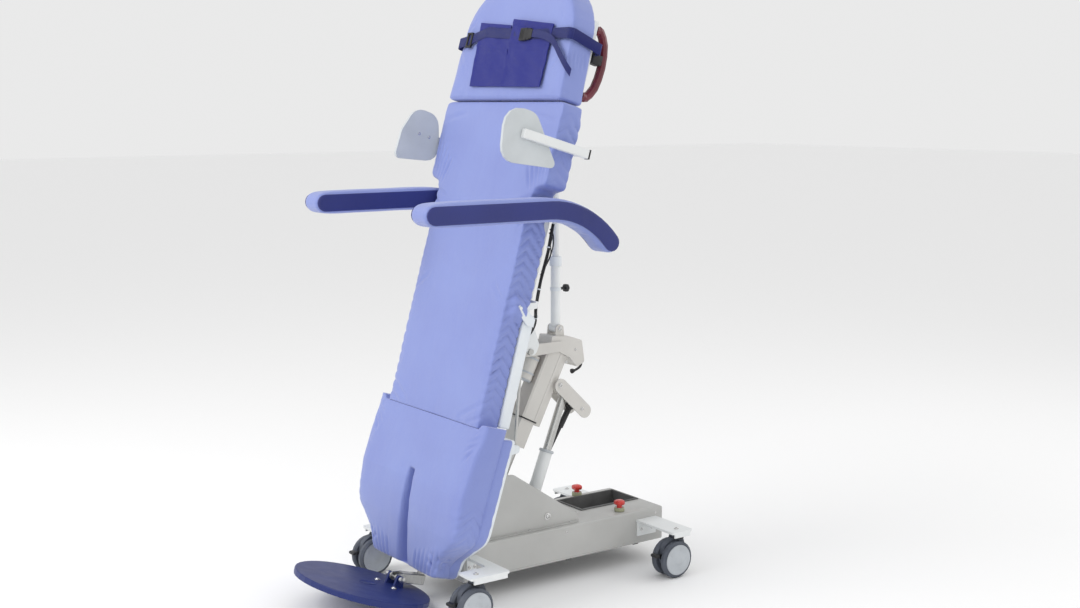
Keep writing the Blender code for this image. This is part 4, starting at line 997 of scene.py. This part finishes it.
def make_drive_details():
    """The rings and the end cap of the motor, the gland of the hose, and the ends of the two struts."""
    motor_off = -0.061
    axis = (0, cos(COLUMN_ANGLE), sin(COLUMN_ANGLE))
    ring = [(0.0258, 0.0), (0.0272, 0.0006), (0.0272, 0.0060), (0.0258, 0.0066)]
    rings = [turned(ring, on_column(0, a, motor_off), axis, 40, hoop=True) for a in (0.008, 0.060)]
    end_cap = [(0.0004, -0.0192), (0.012, -0.0190), (0.0240, -0.0175), (0.0262, -0.0150), (0.0262, -0.0125)]
    rings.append(turned(end_cap, on_column(0, 0, motor_off), axis, 40))
    piece("motor_rings", rings, "lift_head", grey_plastic, DESIGN)
    gland = [(0.0046, 0.0), (0.0085, 0.0002), (0.0085, 0.0060), (0.0070, 0.0075), (0.0062, 0.0120), (0.0048, 0.0125)]
    piece(
        "hose_gland", turned(gland, (0, 0.6346, 0.7005), (0, 1, 0.10), 20), "lift_head",
        black_plastic, DESIGN,
    )
    cuff = [(0.0226, 0.0), (0.0262, 0.0008), (0.0268, 0.0050), (0.0250, 0.0092), (0.0226, 0.0098)]
    nose = [(0.0131, 0.0), (0.0140, 0.0008), (0.0140, 0.0060), (0.0120, 0.0084), (0.0078, 0.0090)]
    along, end = strut_end(0.014, (0.151, 0.39), 0.206)
    cuff = turned(cuff, end, along, 36, hoop=True)
    piece("guide_cuff", cuff, "guide_sleeve", grey_plastic, DESIGN)
    along, end = strut_end(-0.024, (0.208, 0.337), 0.172)
    nose = turned(nose, end, along, 28)
    piece("spring_nose", nose, "spring_body", black_plastic, DESIGN)


def strut_end(x, run, length):
    """The direction of a strut from its foot, and the place where its outer tube ends."""
    along = Vector(run).normalized()
    end = (x, STRUT_FOOT[0] + along.x * length, STRUT_FOOT[1] + along.y * length)
    return (0, *along), end


def make_post_details():
    """The collars of the tilt post, black discs on its row of notches that paint the shade inside the notch holes,
    and the lobes of its clamp knob.
    """
    y = POST_FOOT[0]
    collar = [(0.0191, -0.032), (0.0212, -0.031), (0.0216, -0.008), (0.0206, 0.0008)]
    collar += [(0.0172, 0.0024), (0.0130, 0.0026), (0.0130, 0.0002), (0.0191, 0.0002)]
    top = turned(collar, (0, y, 1.112), (0, 0, 1), 36, hoop=True)
    lower = [(0.0171, 0.0), (0.0192, 0.0010), (0.0192, 0.0120), (0.0171, 0.0130)]
    ring = turned(lower, (0, y, 0.993), (0, 0, 1), 36, hoop=True)
    piece("post_collar", [top, ring], "post_sleeve", white_plastic, DESIGN)
    # The notch holes are drawn as nearly flat black discs: painted shade standing for the dark inside the holes.
    holes = []
    rim = [(0.0030, 0.0), (0.0027, 0.0003), (0.0022, 0.0003), (0.0018, 0.0), (0.0002, -0.0001)]
    for k in range(11):
        holes.append(turned(rim, (0, y + 0.0120, 1.15 + 0.028 * k), (0, 1, 0), 14))
    piece("post_notch_painted_shade", holes, "post_inner", black_plastic, DESIGN)
    lobes, knob_z, reach = [], 1.0, 0.0095
    grip = [(0.0040, 0.0), (0.0048, 0.0010), (0.0048, 0.0115), (0.0036, 0.0135), (0.0004, 0.0138)]
    for k in range(6):
        angle = 2 * pi * k / 6
        spot = (reach * cos(angle), y + 0.0385, knob_z + reach * sin(angle))
        lobes.append(turned(grip, spot, (0, 1, 0), 14))
    piece("post_knob_grip", lobes, "post_sleeve", black_plastic, DESIGN)


def make_base_details():
    """The collars and domes of the release knobs, the rail in the tray, and the chassis folds and ties."""
    knobs = {"left": (0.115, 0.765), "right": (-0.137, 0.765)}
    ring = [(0.0158, 0.0), (0.0182, 0.0006), (0.0186, 0.0060), (0.0176, 0.0128), (0.0158, 0.0142)]
    collars = [turned(ring, (x, y, 0.1962), (0, 0, 1), 32, hoop=True) for x, y in knobs.values()]
    piece("knob_collars", collars, "base", collar_green, DESIGN)
    dome = [(0.0165, 0.0), (0.0176, 0.0030), (0.0170, 0.0075), (0.0145, 0.0105), (0.0090, 0.0122), (0.0006, 0.0126)]
    for side, (x, y) in knobs.items():
        cap = turned(dome, (x, y, 0.2245), (0, 0, 1), 32)
        piece(f"knob_cap_{side}", cap, f"knob_{side}", red_plastic, DESIGN)
    rail = block((-0.0005, 0.6625, 0.1675), (0.0145, 0.9125, 0.1885), 0.0015)
    slots = [block((0.002, y, 0.1880), (0.012, y + 0.012, 0.1893), 0.0005) for y in (0.69, 0.75, 0.81, 0.87)]
    piece("tray_rail", [rail] + slots, "base", chassis_paint, DESIGN)
    trim = [block((x, 0.10, 0.0790), (x + 0.0014, 0.925, 0.0850), 0.0005) for x in (-0.1552, 0.1538)]
    piece("chassis_folds", trim, "base", chassis_paint, DESIGN)
    ties = [block((-0.152, y, 0.0735), (0.152, y + 0.024, 0.0775), 0.0012) for y in (0.20, 0.50, 0.80)]
    piece("chassis_ties", ties, "base", black_plastic, DESIGN)


def make_handle_details():
    """The clamps that hold the push handles."""
    for side, s in SIDES:
        x = s * 0.275
        clamp = block((x - 0.017, 2.000, -0.152), (x + 0.017, 2.034, -0.112), 0.004)
        piece(f"handle_clamp_{side}", clamp, "head", black_plastic)


def make_cables():
    """Three twisted cables and two loops along the frame's rear edge, with their ties."""
    route = [(0.262, 1.47, -0.128), (0.262, 1.38, -0.131), (0.258, 1.28, -0.133), (0.25, 1.20, -0.142)]
    route += [(0.20, 1.155, -0.19), (0.13, 1.12, -0.235), (0.08, 1.10, -0.262), (0.062, 1.09, -0.275)]
    path = smooth_path(route, 7)
    meshes = []
    for k in range(3):
        strand = []
        for i, point in enumerate(path):
            angle = 2 * pi * k / 3 + 0.16 * i
            strand.append(point + 0.0034 * Vector((cos(angle), 0.3 * sin(angle), sin(angle))))
        meshes.append(sweep(strand, 0.0026, 10))
    for lift in (0.0, 0.012):
        loop = [(0.2565, 1.452 - lift, -0.123), (0.264, 1.438 - lift, -0.134), (0.270, 1.405, -0.140 + lift)]
        loop += [(0.266, 1.362 + lift, -0.141), (0.262, 1.325, -0.133), (0.259, 1.300 + lift, -0.125)]
        meshes.append(sweep(smooth_path(loop, 6), 0.0020, 8))
    cables = piece("cable_strands", meshes, "back", black_plastic)
    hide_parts("cable_bundle")
    ties = []
    tie = [(0.0062, -0.0022), (0.0074, -0.0018), (0.0074, 0.0018), (0.0062, 0.0022)]
    for i in (6, 16, 26, 38):
        along = (path[i + 1] - path[i - 1]).normalized()
        ties.append(turned(tie, path[i], along, 18, hoop=True))
    piece("cable_ties", ties, "back", white_plastic)


def make_footplate_details():
    """The shallow dish and the bolts of the footplate, and the knobs of its bracket."""
    top = 0.2001
    dish = [(0.0300, 0.0), (0.0292, 0.0009), (0.0270, 0.0010), (0.0240, 0.0003), (0.0004, 0.0002)]
    piece("footplate_dish", turned(dish, (0, top, 0.09), (0, 1, 0), 40), "foot", footplate_blue)
    bolts = [screw((x, top, 0.02), (0, 1, 0), 0.0065) for x in (-0.055, 0.055)]
    piece("footplate_bolts", bolts, "foot", bright_steel)
    knob = [(0.0055, 0.0), (0.0110, 0.0006), (0.0122, 0.0045), (0.0110, 0.0100), (0.0050, 0.0118), (0.0004, 0.0120)]
    knobs = [turned(knob, (s * 0.0365, 0.226, -0.012), (s, 0, 0), 24) for s in (-1, 1)]
    piece("bracket_knobs", knobs, "foot_bracket", bright_steel)


# Stage


def make_stage():
    """A wide pale floor under a white sky, with three soft lamps."""
    mesh = bpy.data.meshes.new("floor")
    half = 40.0
    mesh.from_pydata([(-half, -half, 0), (half, -half, 0), (half, half, 0), (-half, half, 0)], [], [(0, 1, 2, 3)])
    floor = link("floor", mesh)
    mesh.materials.append(pale_floor())
    world = bpy.data.worlds.new("studio")
    world.use_nodes = True
    sky = world.node_tree.nodes["Background"].inputs
    sky["Color"].default_value = (1.0, 1.0, 1.0, 1.0)
    sky["Strength"].default_value = 0.82
    bpy.context.scene.world = world
    aim = Vector((0, 0, 0.9))
    lamps = [
        ("key", (-0.8, -3.9, 3.9), 3.0, 105.0),
        ("fill", (3.8, -1.2, 2.4), 3.0, 16.0),
        ("rim", (1.6, 4.0, 3.2), 2.5, 25.0),
    ]
    for name, spot, size, power in lamps:
        lamp = bpy.data.lights.new(name, "AREA")
        lamp.energy = power
        lamp.size = size
        holder = link(name, lamp)
        holder.location = spot
        holder.rotation_euler = (aim - Vector(spot)).to_track_quat("-Z", "Y").to_euler()


def make_camera():
    """The viewpoint, 4.7 m from the middle of the floor and at eye height."""
    camera = bpy.data.cameras.new("camera")
    camera.lens = 47.37
    camera.sensor_width = 36.0
    holder = link("camera", camera)
    holder.location = (3.956, -2.595, 1.636)
    holder.rotation_euler = (radians(82.0), 0.0, radians(54.36))
    bpy.context.scene.camera = holder
    bpy.context.scene.view_settings.view_transform = "Standard"


make_camera()
make_stage()
make_mattress()
make_leg_pad()
make_leg_hem()
make_head_pad()
for arm_side, arm_sign in SIDES:
    make_armrest(arm_side, arm_sign)
make_pouch()
make_strap()
make_strap_fittings()
make_fasteners()
make_castor_details()
make_column_details()
make_drive_details()
make_post_details()
make_base_details()
make_handle_details()
make_cables()
make_footplate_details()
